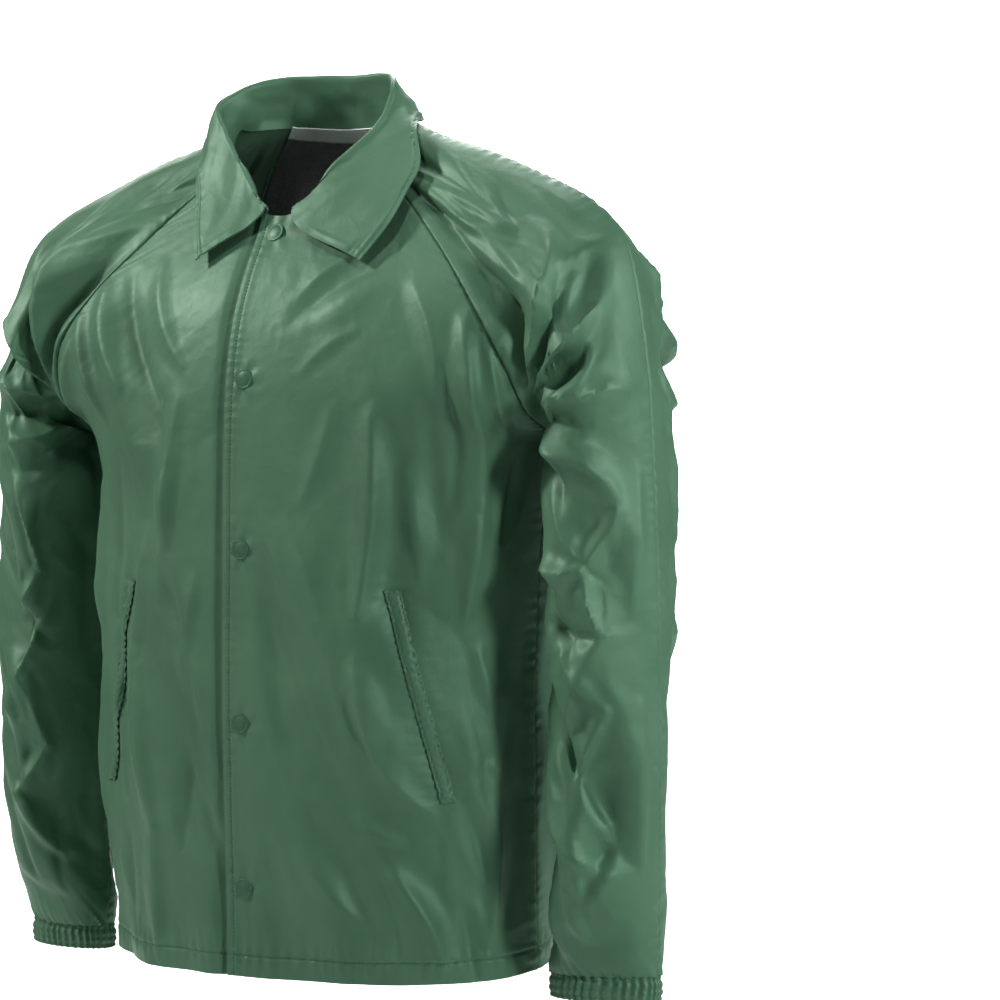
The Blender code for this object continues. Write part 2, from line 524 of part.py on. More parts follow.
def grid_solid(name, outer, inner, material, closed=False):
    """A closed wall between two grids of points; closed joins the last column to the first."""
    rows, columns = outer.shape[:2]
    mesh = bpy.data.meshes.new(name)
    shape = bmesh.new()
    out = [[shape.verts.new(p) for p in row] for row in outer]
    back = [[shape.verts.new(p) for p in row] for row in inner]
    steps = range(columns) if closed else range(columns - 1)
    for i in range(rows - 1):
        for j in steps:
            k = (j + 1) % columns
            shape.faces.new((out[i][j], out[i][k], out[i + 1][k], out[i + 1][j]))
            shape.faces.new((back[i][j], back[i + 1][j], back[i + 1][k], back[i][k]))
    for j in steps:
        k = (j + 1) % columns
        shape.faces.new((out[0][k], out[0][j], back[0][j], back[0][k]))
        shape.faces.new((out[-1][j], out[-1][k], back[-1][k], back[-1][j]))
    if not closed:
        for i in range(rows - 1):
            shape.faces.new((out[i][0], out[i + 1][0], back[i + 1][0], back[i][0]))
            shape.faces.new((out[i + 1][-1], out[i][-1], back[i][-1], back[i + 1][-1]))
    bmesh.ops.triangulate(shape, faces=shape.faces)
    bmesh.ops.recalc_face_normals(shape, faces=shape.faces)
    shape.to_mesh(mesh)
    shape.free()
    mesh.shade_smooth()
    mesh.set_sharp_from_angle(angle=math.radians(50))
    return place_object(name, mesh, material)


def place_object(name, mesh, material):
    obj = bpy.data.objects.new(name, mesh)
    bpy.context.scene.collection.objects.link(obj)
    mesh.materials.append(material)
    return obj


def make_material(name, colour, roughness, metallic=0.0):
    material = bpy.data.materials.new(name)
    material.use_nodes = True
    shader = material.node_tree.nodes["Principled BSDF"]
    shader.inputs["Base Color"].default_value = (*colour, 1.0)
    shader.inputs["Roughness"].default_value = roughness
    shader.inputs["Metallic"].default_value = metallic
    return material


def cloth_wall(panel, material):
    return grid_solid(panel.name, panel.points, panel.points - panel.normals * WALL, material)


def cuff(name, side, material):
    """Elastic cuff: a turned oval ring with gathers all round."""
    count = CUFF_GATHERS * 3
    angles = np.arange(count) * 2 * math.pi / count
    wave = CUFF_WAVE * np.cos(CUFF_GATHERS * angles)
    outer, inner = [], []
    for height, grow in CUFF_RINGS:
        for face, inset in ((outer, 0.0), (inner, CUFF_WALL)):
            u = (CUFF_HALF_WIDTH + grow + wave - inset) * np.cos(angles)
            v = (CUFF_HALF_DEPTH + grow + wave - inset) * np.sin(angles)
            x = CUFF_CENTRE[0] + u * math.cos(CUFF_TURN) - v * math.sin(CUFF_TURN)
            y = CUFF_CENTRE[1] + u * math.sin(CUFF_TURN) + v * math.cos(CUFF_TURN)
            face.append(np.stack([side * x, y, np.full(count, height)], axis=1))
    return grid_solid(name, np.array(outer), np.array(inner), material, closed=True)


def neck_line(shares):
    """Points of the neck seam at these shares from the centre back (0) to the centre front (1, or -1)."""
    half = np.concatenate([body_row(1, 2)[:-1], sleeve_row(1, -1)[::-1][:-1], sleeve_row(-1, -1)[:-1],
                           body_row(-1, 2)[::-1]])
    return lean(at_lengths(half, shares * lengths_along(half)[-1]))


def bisected(points, axis):
    """Direction of the grid at each point, halfway between the steps on its two sides."""
    steps = unit(np.diff(points, axis=axis))
    first, last = np.take(steps, [0], axis), np.take(steps, [-1], axis)
    return unit(np.concatenate([first, steps], axis) + np.concatenate([steps, last], axis))


def collar(material):
    """Stand, fold and fall in one strip that runs round the neck from one front end to the other."""
    table = np.array(COLLAR)
    along = np.linspace(COLLAR[0].along, COLLAR[-1].along, COLLAR_ROWS + 1)
    places = spline(table[:, 0], table[:, 1:], along)
    fold, edge = places[:, :3], places[:, 3:]
    flat = fold * [1, 1, 0]
    way = bisected(flat[:, None, :], 0)[:, 0]
    outward = unit(np.stack([-way[:, 1], way[:, 0], np.zeros(len(way))], axis=1))
    neck = neck_line(along)
    up = np.array([0.0, 0.0, 1.0])
    centre = fold - COLLAR_TURN * up
    base = neck + STAND_OFF * unit(centre - neck) - outward * COLLAR_WALL / 2
    inside, outside = centre - COLLAR_TURN * outward, centre + COLLAR_TURN * outward
    turn = []
    for angle in (math.pi / 3, math.pi * 2 / 3):
        turn.append(centre + COLLAR_TURN * (math.sin(angle) * up - math.cos(angle) * outward))
    reach = np.linalg.norm(edge - outside, axis=1)[:, None]
    start = outside + reach * (FALL_SPREAD * outward - FALL_DROP * up)
    end = edge + reach * (EDGE_BACK * unit(outside - edge) + EDGE_SPREAD * outward)
    columns = [base, (base + inside) / 2, inside, *turn, outside]
    for t in np.linspace(0, 1, FALL_COLUMNS + 1)[1:]:
        near_fold = (1 - t) ** 3 * outside + 3 * t * (1 - t) ** 2 * start
        columns.append(near_fold + 3 * t**2 * (1 - t) * end + t**3 * edge)
    middle = np.stack(columns, axis=1)
    normals = unit(np.cross(bisected(middle, 1), bisected(middle, 0))) * COLLAR_WALL / 2
    return grid_solid("collar", middle + normals, middle - normals, material)


def lining(material):
    """Loose lining inside the back, hung from the neck seam and stopped short of the hem."""
    lower, upper = side_levels()[:SIDE_ROWS:2], side_levels()[SIDE_ROWS:]
    levels = np.concatenate([lower, upper])
    levels[0] = (LINING_HEM - HEM_HEIGHT) / (BACK_CHEST - HEM_HEIGHT)
    rows = []
    for level in levels:
        row = body_row(1, level)
        reach = lengths_along(row)[-1] - LINING_SIDE_INSET
        rows.append(at_lengths(row, np.linspace(reach, -reach, LINING_COLUMNS + 1)))
    panel = Panel("lining_back", settled(np.array(rows)), None, ())
    hang = LINING_LOOSE * eased((LINING_LOOSE_FROM - panel.points[..., 2]) / LINING_LOOSE_OVER)
    depth = (WALL + LINING_GAP + hang)[..., None]
    outer = panel.points - panel.normals * depth
    return grid_solid(panel.name, outer, outer - panel.normals * LINING_WALL, material)


def welt(name, panel, material):
    """Strip over the pocket's slanted mouth, made from the front's own points moved out."""
    outer, inner = [], []
    for t in np.linspace(0, 1, WELT_ROWS + 1):
        height = WELT_BOTTOM + (WELT_TOP - WELT_BOTTOM) * t
        ends = [bottom + (top - bottom) * t for bottom, top in zip(WELT_BOTTOM_EDGES, WELT_TOP_EDGES)]
        found = [panel.at(length, height) for length in (ends[0], sum(ends) / 2, ends[1])]
        outer.append([point + normal * (WELT_GAP + WELT_WALL) for point, normal in found])
        inner.append([point + normal * WELT_GAP for point, normal in found])
    return grid_solid(name, np.array(outer), np.array(inner), material)


def snap(name, panel, height, material):
    """Round domed cap of a snap, on the lap at the centre front."""
    point, normal = panel.at(0.0, height)
    across = unit(np.cross([0.0, 0.0, 1.0], normal))
    up = np.cross(normal, across)
    angles = np.arange(SNAP_SEGMENTS) * 2 * math.pi / SNAP_SEGMENTS
    under = [panel.at(SNAP_RADIUS * math.cos(a), height + SNAP_RADIUS * math.sin(a))[0] for a in angles]
    lift = max((place - point) @ normal for place in [*under, point]) + SNAP_GAP
    mesh = bpy.data.meshes.new(name)
    shape = bmesh.new()
    rings = []
    for share, rise in SNAP_PROFILE:
        radius = share * SNAP_RADIUS
        rings.append([shape.verts.new((radius * math.cos(a), radius * math.sin(a), rise)) for a in angles])
    for lower, upper in zip(rings, rings[1:]):
        for k in range(SNAP_SEGMENTS):
            following = (k + 1) % SNAP_SEGMENTS
            shape.faces.new((lower[k], lower[following], upper[following], upper[k]))
    shape.faces.new(rings[0][::-1])
    shape.faces.new(rings[-1])
    bmesh.ops.recalc_face_normals(shape, faces=shape.faces)
    shape.to_mesh(mesh)
    shape.free()
    mesh.shade_smooth()
    mesh.set_sharp_from_angle(angle=math.radians(40))
    cap = place_object(name, mesh, material)
    turn = Matrix([Vector(across), Vector(up), Vector(normal)]).transposed().to_4x4()
    cap.matrix_world = Matrix.Translation(Vector(point + normal * lift)) @ turn
    return cap


def clear_scene():
    for obj in list(bpy.data.objects):
        bpy.data.objects.remove(obj, do_unlink=True)


def main():
    clear_scene()
    panels = [
        front_panel("front_left", 1),
        front_panel("front_right", -1),
        back_panel(),
        sleeve_panel("sleeve_front_left", -1, 1, SLEEVE_FRONT_LEFT_FOLDS),
        sleeve_panel("sleeve_back_left", 1, 1, SLEEVE_BACK_LEFT_FOLDS),
        sleeve_panel("sleeve_front_right", -1, -1, SLEEVE_FRONT_RIGHT_FOLDS),
        sleeve_panel("sleeve_back_right", 1, -1, SLEEVE_BACK_RIGHT_FOLDS),
    ]
    join_normals(panels)
    solids = []
    for panel in panels:
        draw_in(panel)
        solids.append(cloth_wall(panel, make_material(panel.name, *SHELL_FINISH)))
    for side, word in ((1, "left"), (-1, "right")):
        front = panels[0] if side > 0 else panels[1]
        solids.append(welt("welt_" + word, front, make_material("welt_" + word, *SHELL_FINISH)))
        solids.append(cuff("cuff_" + word, side, make_material("cuff_" + word, *SHELL_FINISH)))
    solids.append(collar(make_material("collar", *SHELL_FINISH)))
    solids.append(lining(make_material("lining_back", *LINING_FINISH)))
    for number, height in enumerate(SNAP_HEIGHTS, start=1):
        name = f"snap_{number}"
        solids.append(snap(name, panels[0], height, make_material(name, *SNAP_FINISH)))
    jacket = bpy.data.objects.new("coach_jacket", None)
    bpy.context.scene.collection.objects.link(jacket)
    for solid in solids:
        solid.parent = jacket


main()
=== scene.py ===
import math
from collections import namedtuple

import bmesh
import bpy
import numpy as np
from mathutils import Matrix, Vector, kdtree


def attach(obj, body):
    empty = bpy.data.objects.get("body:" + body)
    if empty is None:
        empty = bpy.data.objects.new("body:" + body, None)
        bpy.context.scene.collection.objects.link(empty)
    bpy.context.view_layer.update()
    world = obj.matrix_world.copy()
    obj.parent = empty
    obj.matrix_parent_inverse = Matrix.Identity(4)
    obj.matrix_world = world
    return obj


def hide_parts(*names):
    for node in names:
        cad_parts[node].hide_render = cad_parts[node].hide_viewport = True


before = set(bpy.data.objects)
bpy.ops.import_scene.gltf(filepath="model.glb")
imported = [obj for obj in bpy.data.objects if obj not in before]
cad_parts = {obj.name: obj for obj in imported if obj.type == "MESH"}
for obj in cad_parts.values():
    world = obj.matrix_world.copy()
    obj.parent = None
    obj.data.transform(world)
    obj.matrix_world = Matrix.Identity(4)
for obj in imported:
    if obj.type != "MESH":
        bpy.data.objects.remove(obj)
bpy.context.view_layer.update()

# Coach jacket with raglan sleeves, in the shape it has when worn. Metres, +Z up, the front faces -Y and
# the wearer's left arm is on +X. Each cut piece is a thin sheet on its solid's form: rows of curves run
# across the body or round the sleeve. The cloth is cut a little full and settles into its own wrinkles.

WALL = 0.0013            # shell cloth with its turnings
LAP = 0.019              # left front's edge past the centre line
UNDERLAP = 0.017         # right front's edge past the centre line, under the lap
STRIP_END = 0.034        # the centre front's strip of close columns ends this far from the centre line
DIP_KEPT = 0.0205        # the right front stays under the lap this far from the centre line
UNDER_LAP = 0.0030       # and this deep
LAP_RISE = 0.0012        # the left front's edge stands this far off what it laps over
NECK_LEAN = -0.009       # how far the neck sits towards the wearer's right
HEM_LIFT = 0.016         # how much higher the hem is behind than in front
HEM_LIFT_FROM = -0.50    # height that this lift starts from
SEAM_FADE = 0.022        # large folds die out this near to a seam
PLACKET_FADE = 0.030     # and this near to the centre front

# Centre lines of the body: height, then distance from the middle of the body
CENTRE_FRONT = ((-0.750, -0.131), (-0.672, -0.133), (-0.525, -0.138), (-0.372, -0.137), (-0.290, -0.136),
                (-0.222, -0.132), (-0.165, -0.119), (-0.120, -0.099), (-0.092, -0.082), (-0.077, -0.075))
CENTRE_BACK = ((-0.750, 0.138), (-0.500, 0.138), (-0.350, 0.139), (-0.200, 0.136), (-0.120, 0.129),
               (-0.060, 0.116), (-0.020, 0.094), (0.010, 0.065))
# Side seam: height, distance from the centre, forward or back, how far the front's and back's rows run square
SIDE_SEAM = ((-0.750, 0.220, 0.004, 0.125, 0.084), (-0.600, 0.219, 0.003, 0.125, 0.088),
             (-0.450, 0.220, 0.002, 0.127, 0.094), (-0.360, 0.225, 0.002, 0.134, 0.100),
             (-0.300, 0.2320, 0.003, 0.142, 0.105), (-0.272, 0.237, 0.004, 0.145, 0.106))
HEM_HEIGHT, ARMPIT_HEIGHT = SIDE_SEAM[0][0], SIDE_SEAM[-1][0]
FRONT_CHEST, BACK_CHEST = -0.288, -0.270   # centre heights of the rows that end at the armpit
FRONT_NECK, BACK_NECK = CENTRE_FRONT[-1][0], CENTRE_BACK[-1][0]

# Raglan seams from the armpit to the neck: place, the way the body's row leaves the seam and how far,
# how far the same row runs square at the centre, the way the sleeve's row leaves the seam and how far
Seam = namedtuple("Seam", "x y z body_x body_y body_z body_reach centre_reach arm_x arm_y arm_z arm_reach")
RAGLAN_FRONT = (
    Seam(0.237, 0.004, -0.272, -0.05, -1.00, 0.00, 0.106, 0.145, 0.16, -1.00, 0.05, 0.118),
    Seam(0.246, -0.036, -0.2605, -0.22, -0.96, 0.00, 0.064, 0.140, 0.40, -0.90, 0.10, 0.095),
    Seam(0.250, -0.064, -0.250, -0.45, -0.89, 0.00, 0.046, 0.134, 0.50, -0.80, 0.30, 0.075),
    Seam(0.240, -0.094, -0.200, -0.94, -0.28, -0.12, 0.066, 0.114, 0.60, -0.55, 0.60, 0.060),
    Seam(0.201, -0.089, -0.143, -0.97, -0.22, -0.08, 0.070, 0.090, 0.50, -0.30, 0.80, 0.050),
    Seam(0.160, -0.070, -0.100, -0.95, -0.25, -0.15, 0.055, 0.070, 0.35, -0.05, 0.93, 0.040),
    Seam(0.122, -0.052, -0.064, -0.90, -0.35, -0.25, 0.040, 0.050, 0.20, 0.25, 0.95, 0.028),
    Seam(0.085, -0.036, -0.033, -0.80, -0.50, -0.33, 0.028, 0.030, 0.15, 0.60, 0.75, 0.020),
)
RAGLAN_BACK = (
    Seam(0.237, 0.004, -0.272, -0.05, 1.00, 0.00, 0.106, 0.145, 0.16, 1.00, 0.05, 0.104),
    Seam(0.246, 0.040, -0.2610, -0.25, 0.96, 0.00, 0.066, 0.140, 0.42, 0.90, 0.10, 0.098),
    Seam(0.249, 0.072, -0.250, -0.50, 0.86, 0.00, 0.050, 0.134, 0.50, 0.80, 0.30, 0.075),
    Seam(0.232, 0.101, -0.195, -0.94, 0.28, -0.10, 0.072, 0.114, 0.60, 0.45, 0.60, 0.060),
    Seam(0.208, 0.112, -0.150, -0.97, 0.22, 0.02, 0.080, 0.100, 0.60, 0.10, 0.75, 0.050),
    Seam(0.180, 0.110, -0.109, -0.98, 0.18, 0.04, 0.075, 0.090, 0.50, -0.20, 0.80, 0.045),
    Seam(0.143, 0.092, -0.060, -0.97, 0.22, 0.08, 0.060, 0.070, 0.40, -0.60, 0.60, 0.035),
    Seam(0.105, 0.069, -0.020, -0.95, 0.30, 0.05, 0.045, 0.050, 0.35, -0.85, 0.25, 0.025),
    Seam(0.067, 0.046, 0.013, -0.93, 0.36, -0.02, 0.030, 0.035, 0.30, -0.90, 0.00, 0.014),
)
# Seam over the arm, beside the raglan seams: share of the way up from the armpit row, place,
# the way the front's and back's rows leave it (forward or back is 1), and how far each of them
Over = namedtuple("Over", "share x y z lean drop front back")
OVERARM = (
    Over(0.000, 0.344, -0.014, -0.225, 0.00, -0.10, 0.118, 0.104),
    Over(0.117, 0.332, -0.012, -0.152, 0.03, -0.22, 0.106, 0.094),
    Over(0.201, 0.321, -0.010, -0.110, 0.05, -0.28, 0.094, 0.085),
    Over(0.363, 0.288, -0.006, -0.069, 0.07, -0.25, 0.072, 0.069),
    Over(0.549, 0.231, -0.001, -0.041, 0.05, -0.16, 0.051, 0.051),
    Over(0.716, 0.178, 0.002, -0.020, 0.02, -0.10, 0.036, 0.036),
    Over(0.864, 0.132, 0.004, -0.006, 0.00, -0.08, 0.026, 0.026),
    Over(1.000, 0.092, 0.005, 0.010, 0.00, -0.08, 0.016, 0.016),
)
# Sleeve from the armpit row down to the cuff: share of the way, outer and inner line, depth fore and aft
Tube = namedtuple("Tube", "share over_x over_y over_z under_x under_y under_z front back")
SLEEVE = (
    Tube(0.00, 0.344, -0.014, -0.225, 0.237, 0.004, -0.272, 0.118, 0.104),
    Tube(0.12, 0.349, -0.016, -0.290, 0.2390, -0.004, -0.318, 0.108, 0.096),
    Tube(0.30, 0.353, -0.015, -0.385, 0.2370, -0.010, -0.400, 0.100, 0.090),
    Tube(0.50, 0.354, -0.014, -0.490, 0.2350, -0.012, -0.495, 0.095, 0.086),
    Tube(0.75, 0.352, -0.011, -0.610, 0.2380, -0.011, -0.610, 0.087, 0.082),
    Tube(0.90, 0.348, -0.004, -0.690, 0.2440, -0.010, -0.690, 0.074, 0.072),
    Tube(1.00, 0.343, 0.004, -0.738, 0.2470, -0.014, -0.738, 0.036, 0.036),
)

# Elastic cuffs
CUFF_TOP, CUFF_BOTTOM = -0.7385, -0.7600
CUFF_CENTRE = (0.295, -0.005)
CUFF_HALF_WIDTH, CUFF_HALF_DEPTH, CUFF_TURN = 0.049, 0.025, 0.19   # the ring is turned this many radians
CUFF_GATHERS, CUFF_WALL = 24, 0.0020
CUFF_SEWN = ((0.18, 0.07), (0.50, 0.07), (0.84, 0.06))   # rows of sewing: share of the height, width

# Folds: two ends, each as length from the centre front, centre back or overarm seam and height;
# then width and depth, outwards
Fold = namedtuple("Fold", "along_1 height_1 along_2 height_2 width depth")
FRONT_LEFT_FOLDS = (
    Fold(0.128, -0.250, 0.117, -0.430, 0.022, 0.0060),
    Fold(0.112, -0.470, 0.152, -0.560, 0.022, 0.0060),
    Fold(0.150, -0.280, 0.146, -0.440, 0.022, -0.0050),
    Fold(0.213, -0.170, 0.220, -0.420, 0.022, 0.0060),
    Fold(0.182, -0.230, 0.190, -0.380, 0.022, -0.0050),
    Fold(0.215, -0.450, 0.236, -0.720, 0.024, 0.0060),
    Fold(0.130, -0.620, 0.186, -0.735, 0.022, 0.0060),
    Fold(0.080, -0.600, 0.140, -0.735, 0.026, -0.0050),
    Fold(0.070, -0.180, 0.135, -0.125, 0.020, 0.0035),
)
FRONT_RIGHT_FOLDS = (
    Fold(0.185, -0.150, 0.130, -0.300, 0.022, 0.0055),
    Fold(0.145, -0.140, 0.085, -0.300, 0.022, -0.0045),
    Fold(0.075, -0.290, 0.110, -0.440, 0.022, 0.0055),
    Fold(0.128, -0.460, 0.105, -0.730, 0.022, 0.0055),
    Fold(0.150, -0.320, 0.165, -0.560, 0.022, -0.0050),
    Fold(0.205, -0.330, 0.215, -0.700, 0.022, 0.0055),
    Fold(0.070, -0.560, 0.060, -0.720, 0.024, -0.0045),
)
BACK_FOLDS = (
    Fold(0.225, -0.210, 0.150, -0.420, 0.022, 0.0060),
    Fold(0.150, -0.430, 0.120, -0.700, 0.024, 0.0060),
    Fold(0.195, -0.330, 0.180, -0.650, 0.022, -0.0055),
    Fold(0.230, -0.330, 0.235, -0.700, 0.022, 0.0055),
    Fold(0.080, -0.300, 0.060, -0.600, 0.026, -0.0040),
    Fold(-0.225, -0.210, -0.165, -0.400, 0.022, 0.0060),
    Fold(-0.160, -0.420, -0.150, -0.700, 0.024, 0.0060),
    Fold(-0.200, -0.300, -0.195, -0.640, 0.022, -0.0055),
    Fold(-0.235, -0.340, -0.225, -0.700, 0.022, 0.0055),
    Fold(-0.060, -0.320, -0.090, -0.620, 0.026, -0.0040),
)
SLEEVE_FRONT_LEFT_FOLDS = (
    Fold(0.165, -0.240, 0.085, -0.110, 0.018, 0.0060),
    Fold(0.130, -0.240, 0.050, -0.120, 0.016, -0.0050),
    Fold(0.150, -0.270, 0.045, -0.190, 0.018, 0.0060),
    Fold(0.110, -0.270, 0.070, -0.330, 0.018, -0.0050),
    Fold(0.135, -0.330, 0.060, -0.400, 0.020, 0.0055),
    Fold(0.060, -0.420, 0.110, -0.520, 0.020, 0.0050),
    Fold(0.090, -0.400, 0.130, -0.460, 0.018, -0.0045),
    Fold(0.060, -0.520, 0.060, -0.640, 0.020, -0.0045),
    Fold(0.095, -0.570, 0.080, -0.690, 0.020, 0.0050),
)
SLEEVE_BACK_LEFT_FOLDS = (
    Fold(0.165, -0.240, 0.080, -0.110, 0.018, 0.0060),
    Fold(0.130, -0.250, 0.045, -0.150, 0.016, -0.0050),
    Fold(0.140, -0.290, 0.050, -0.210, 0.018, 0.0055),
    Fold(0.060, -0.250, 0.055, -0.430, 0.018, 0.0055),
    Fold(0.100, -0.320, 0.100, -0.500, 0.020, -0.0050),
    Fold(0.050, -0.500, 0.090, -0.640, 0.020, 0.0055),
    Fold(0.120, -0.560, 0.080, -0.700, 0.020, -0.0050),
)
SLEEVE_FRONT_RIGHT_FOLDS = (
    Fold(0.165, -0.235, 0.095, -0.120, 0.018, 0.0060),
    Fold(0.135, -0.250, 0.070, -0.160, 0.016, -0.0050),
    Fold(0.150, -0.290, 0.080, -0.260, 0.018, 0.0055),
    Fold(0.090, -0.300, 0.135, -0.400, 0.020, 0.0055),
    Fold(0.060, -0.380, 0.100, -0.460, 0.020, -0.0050),
    Fold(0.135, -0.440, 0.070, -0.540, 0.020, 0.0055),
    Fold(0.080, -0.590, 0.130, -0.660, 0.020, 0.0055),
    Fold(0.100, -0.520, 0.120, -0.610, 0.018, -0.0045),
)
SLEEVE_BACK_RIGHT_FOLDS = (
    Fold(0.165, -0.235, 0.085, -0.120, 0.018, 0.0060),
    Fold(0.135, -0.250, 0.055, -0.160, 0.016, -0.0050),
    Fold(0.060, -0.260, 0.070, -0.400, 0.018, 0.0055),
    Fold(0.110, -0.340, 0.105, -0.480, 0.020, -0.0050),
    Fold(0.050, -0.480, 0.095, -0.600, 0.020, 0.0055),
    Fold(0.115, -0.580, 0.075, -0.690, 0.020, -0.0050),
)
FOLD_END = 0.35          # a fold's depth at its two ends, as a share of that at its middle

# Collar, from the right front end over the back of the neck to the left: place along the neck seam from the
# centre back (1 is the centre front), the fold, and the fall's outer edge
Section = namedtuple("Section", "along fold_x fold_y fold_z edge_x edge_y edge_z")
COLLAR = (
    Section(-0.945, -0.015, -0.0775, -0.0690, -0.073, -0.1050, -0.1160),
    Section(-0.880, -0.034, -0.0680, -0.0530, -0.086, -0.0890, -0.0930),
    Section(-0.780, -0.058, -0.0560, -0.0280, -0.099, -0.0690, -0.0630),
    Section(-0.640, -0.086, -0.0420, 0.0040, -0.111, -0.0500, -0.0330),
    Section(-0.520, -0.104, -0.0260, 0.0290, -0.121, -0.0180, -0.0010),
    Section(-0.420, -0.096, 0.0050, 0.0460, -0.117, 0.0120, 0.0090),
    Section(-0.300, -0.076, 0.0320, 0.0545, -0.092, 0.0500, 0.0110),
    Section(-0.160, -0.044, 0.0500, 0.0560, -0.052, 0.0750, 0.0120),
    Section(0.000, -0.009, 0.0540, 0.0560, -0.008, 0.0830, 0.0120),
    Section(0.160, 0.026, 0.0480, 0.0560, 0.037, 0.0730, 0.0120),
    Section(0.300, 0.049, 0.0300, 0.0520, 0.070, 0.0480, 0.0120),
    Section(0.420, 0.064, 0.0080, 0.0400, 0.088, 0.0160, 0.0105),
    Section(0.520, 0.067, -0.0130, 0.0120, 0.106, -0.0170, 0.0000),
    Section(0.640, 0.061, -0.0400, -0.0100, 0.126, -0.0410, -0.0300),
    Section(0.780, 0.044, -0.0620, -0.0360, 0.125, -0.0600, -0.0570),
    Section(0.880, 0.027, -0.0720, -0.0580, 0.118, -0.0830, -0.0900),
    Section(0.945, 0.013, -0.0775, -0.0700, 0.1010, -0.0990, -0.1190),
)
COLLAR_WALL = 0.0018
COLLAR_TURN = 0.0020     # radius of the fold, at the middle of the wall
FALL_DROP, FALL_SPREAD = 0.22, 0.10   # how far the fall runs down and outwards as it leaves the fold,
EDGE_BACK, EDGE_SPREAD = 0.36, 0.08   # and back and outwards before its edge, as shares of its reach
STAND_OFF = 0.0010       # from the neck seam to the middle of the stand's lower edge

# Lining: it hangs off the back by a little more lower down, clear of the folds
LINING_WALL, LINING_HEM = 0.0012, -0.715
LINING_LOOSE, LINING_LOOSE_FROM, LINING_LOOSE_OVER = 0.0075, -0.100, 0.110

# Welt of the left pocket: its two long edges at the top and at the bottom, as length from the centre front
WELT_TOP, WELT_BOTTOM = -0.405, -0.590
WELT_TOP_EDGES, WELT_BOTTOM_EDGES = (0.139, 0.153), (0.187, 0.201)

SNAP_HEIGHTS = (-0.092, -0.222, -0.372, -0.525, -0.672)
SNAP_RADIUS, SNAP_GAP = 0.0088, 0.0003

# Crisp creases: two ends, each as length from the centre front, centre back or overarm seam and height;
# how far the middle bows aside; width of the slope; depth, outwards
Crease = namedtuple("Crease", "along_1 height_1 along_2 height_2 bow width depth")
FRONT_LEFT_CREASES = (
    Crease(0.130, -0.255, 0.117, -0.425, 0.006, 0.016, 0.0048),
    Crease(0.113, -0.470, 0.132, -0.550, 0.000, 0.012, 0.0040),
    Crease(0.132, -0.550, 0.178, -0.600, -0.004, 0.012, 0.0036),
    Crease(0.214, -0.172, 0.224, -0.330, 0.004, 0.014, 0.0056),
    Crease(0.224, -0.330, 0.212, -0.430, 0.000, 0.012, 0.0044),
    Crease(0.250, -0.270, 0.236, -0.190, 0.000, 0.009, 0.0040),
    Crease(0.262, -0.290, 0.246, -0.360, 0.002, 0.010, -0.0040),
    Crease(0.196, -0.210, 0.202, -0.330, 0.004, 0.011, -0.0036),
    Crease(0.225, -0.460, 0.238, -0.560, 0.004, 0.014, 0.0040),
    Crease(0.238, -0.560, 0.232, -0.700, 0.004, 0.014, 0.0044),
    Crease(0.146, -0.655, 0.188, -0.730, 0.004, 0.013, 0.0044),
    Crease(0.120, -0.640, 0.150, -0.730, 0.004, 0.012, -0.0028),
    Crease(0.080, -0.585, 0.150, -0.625, -0.004, 0.012, 0.0028),
    Crease(0.060, -0.640, 0.120, -0.700, -0.004, 0.014, 0.0026),
    Crease(0.205, -0.590, 0.226, -0.655, 0.002, 0.012, -0.0034),
    Crease(0.046, -0.150, 0.100, -0.110, 0.004, 0.012, 0.0018),
    Crease(0.040, -0.175, 0.120, -0.125, 0.006, 0.013, -0.0018),
    Crease(0.060, -0.215, 0.110, -0.180, 0.004, 0.010, 0.0014),
    Crease(0.090, -0.250, 0.062, -0.330, 0.003, 0.014, 0.0016),
    Crease(0.048, -0.350, 0.080, -0.420, 0.003, 0.014, 0.0018),
    Crease(0.160, -0.140, 0.190, -0.220, 0.006, 0.014, 0.0022),
    Crease(0.060, -0.460, 0.090, -0.540, -0.004, 0.014, 0.0018),
    Crease(0.160, -0.300, 0.172, -0.395, 0.002, 0.012, 0.0026),
    Crease(0.206, -0.690, 0.216, -0.745, 0.000, 0.010, -0.0026),
)
FRONT_RIGHT_CREASES = (
    Crease(0.190, -0.140, 0.146, -0.230, 0.006, 0.014, 0.0040),
    Crease(0.162, -0.130, 0.100, -0.240, 0.006, 0.014, -0.0034),
    Crease(0.215, -0.165, 0.180, -0.260, 0.004, 0.012, 0.0040),
    Crease(0.130, -0.120, 0.070, -0.210, 0.004, 0.013, 0.0026),
    Crease(0.072, -0.240, 0.086, -0.370, 0.004, 0.014, 0.0036),
    Crease(0.112, -0.360, 0.130, -0.470, 0.003, 0.014, 0.0036),
    Crease(0.128, -0.470, 0.104, -0.620, 0.006, 0.014, 0.0036),
    Crease(0.104, -0.620, 0.100, -0.730, 0.002, 0.012, 0.0030),
    Crease(0.160, -0.300, 0.172, -0.440, 0.003, 0.013, -0.0034),
    Crease(0.176, -0.450, 0.160, -0.600, 0.004, 0.014, 0.0030),
    Crease(0.210, -0.320, 0.204, -0.450, 0.003, 0.014, 0.0046),
    Crease(0.208, -0.460, 0.222, -0.690, 0.004, 0.015, 0.0044),
    Crease(0.238, -0.290, 0.232, -0.400, 0.003, 0.012, -0.0040),
    Crease(0.240, -0.250, 0.226, -0.190, 0.000, 0.010, 0.0036),
    Crease(0.052, -0.400, 0.066, -0.480, 0.002, 0.012, 0.0018),
    Crease(0.056, -0.560, 0.070, -0.640, 0.002, 0.013, -0.0020),
    Crease(0.150, -0.640, 0.140, -0.735, 0.002, 0.012, -0.0024),
)
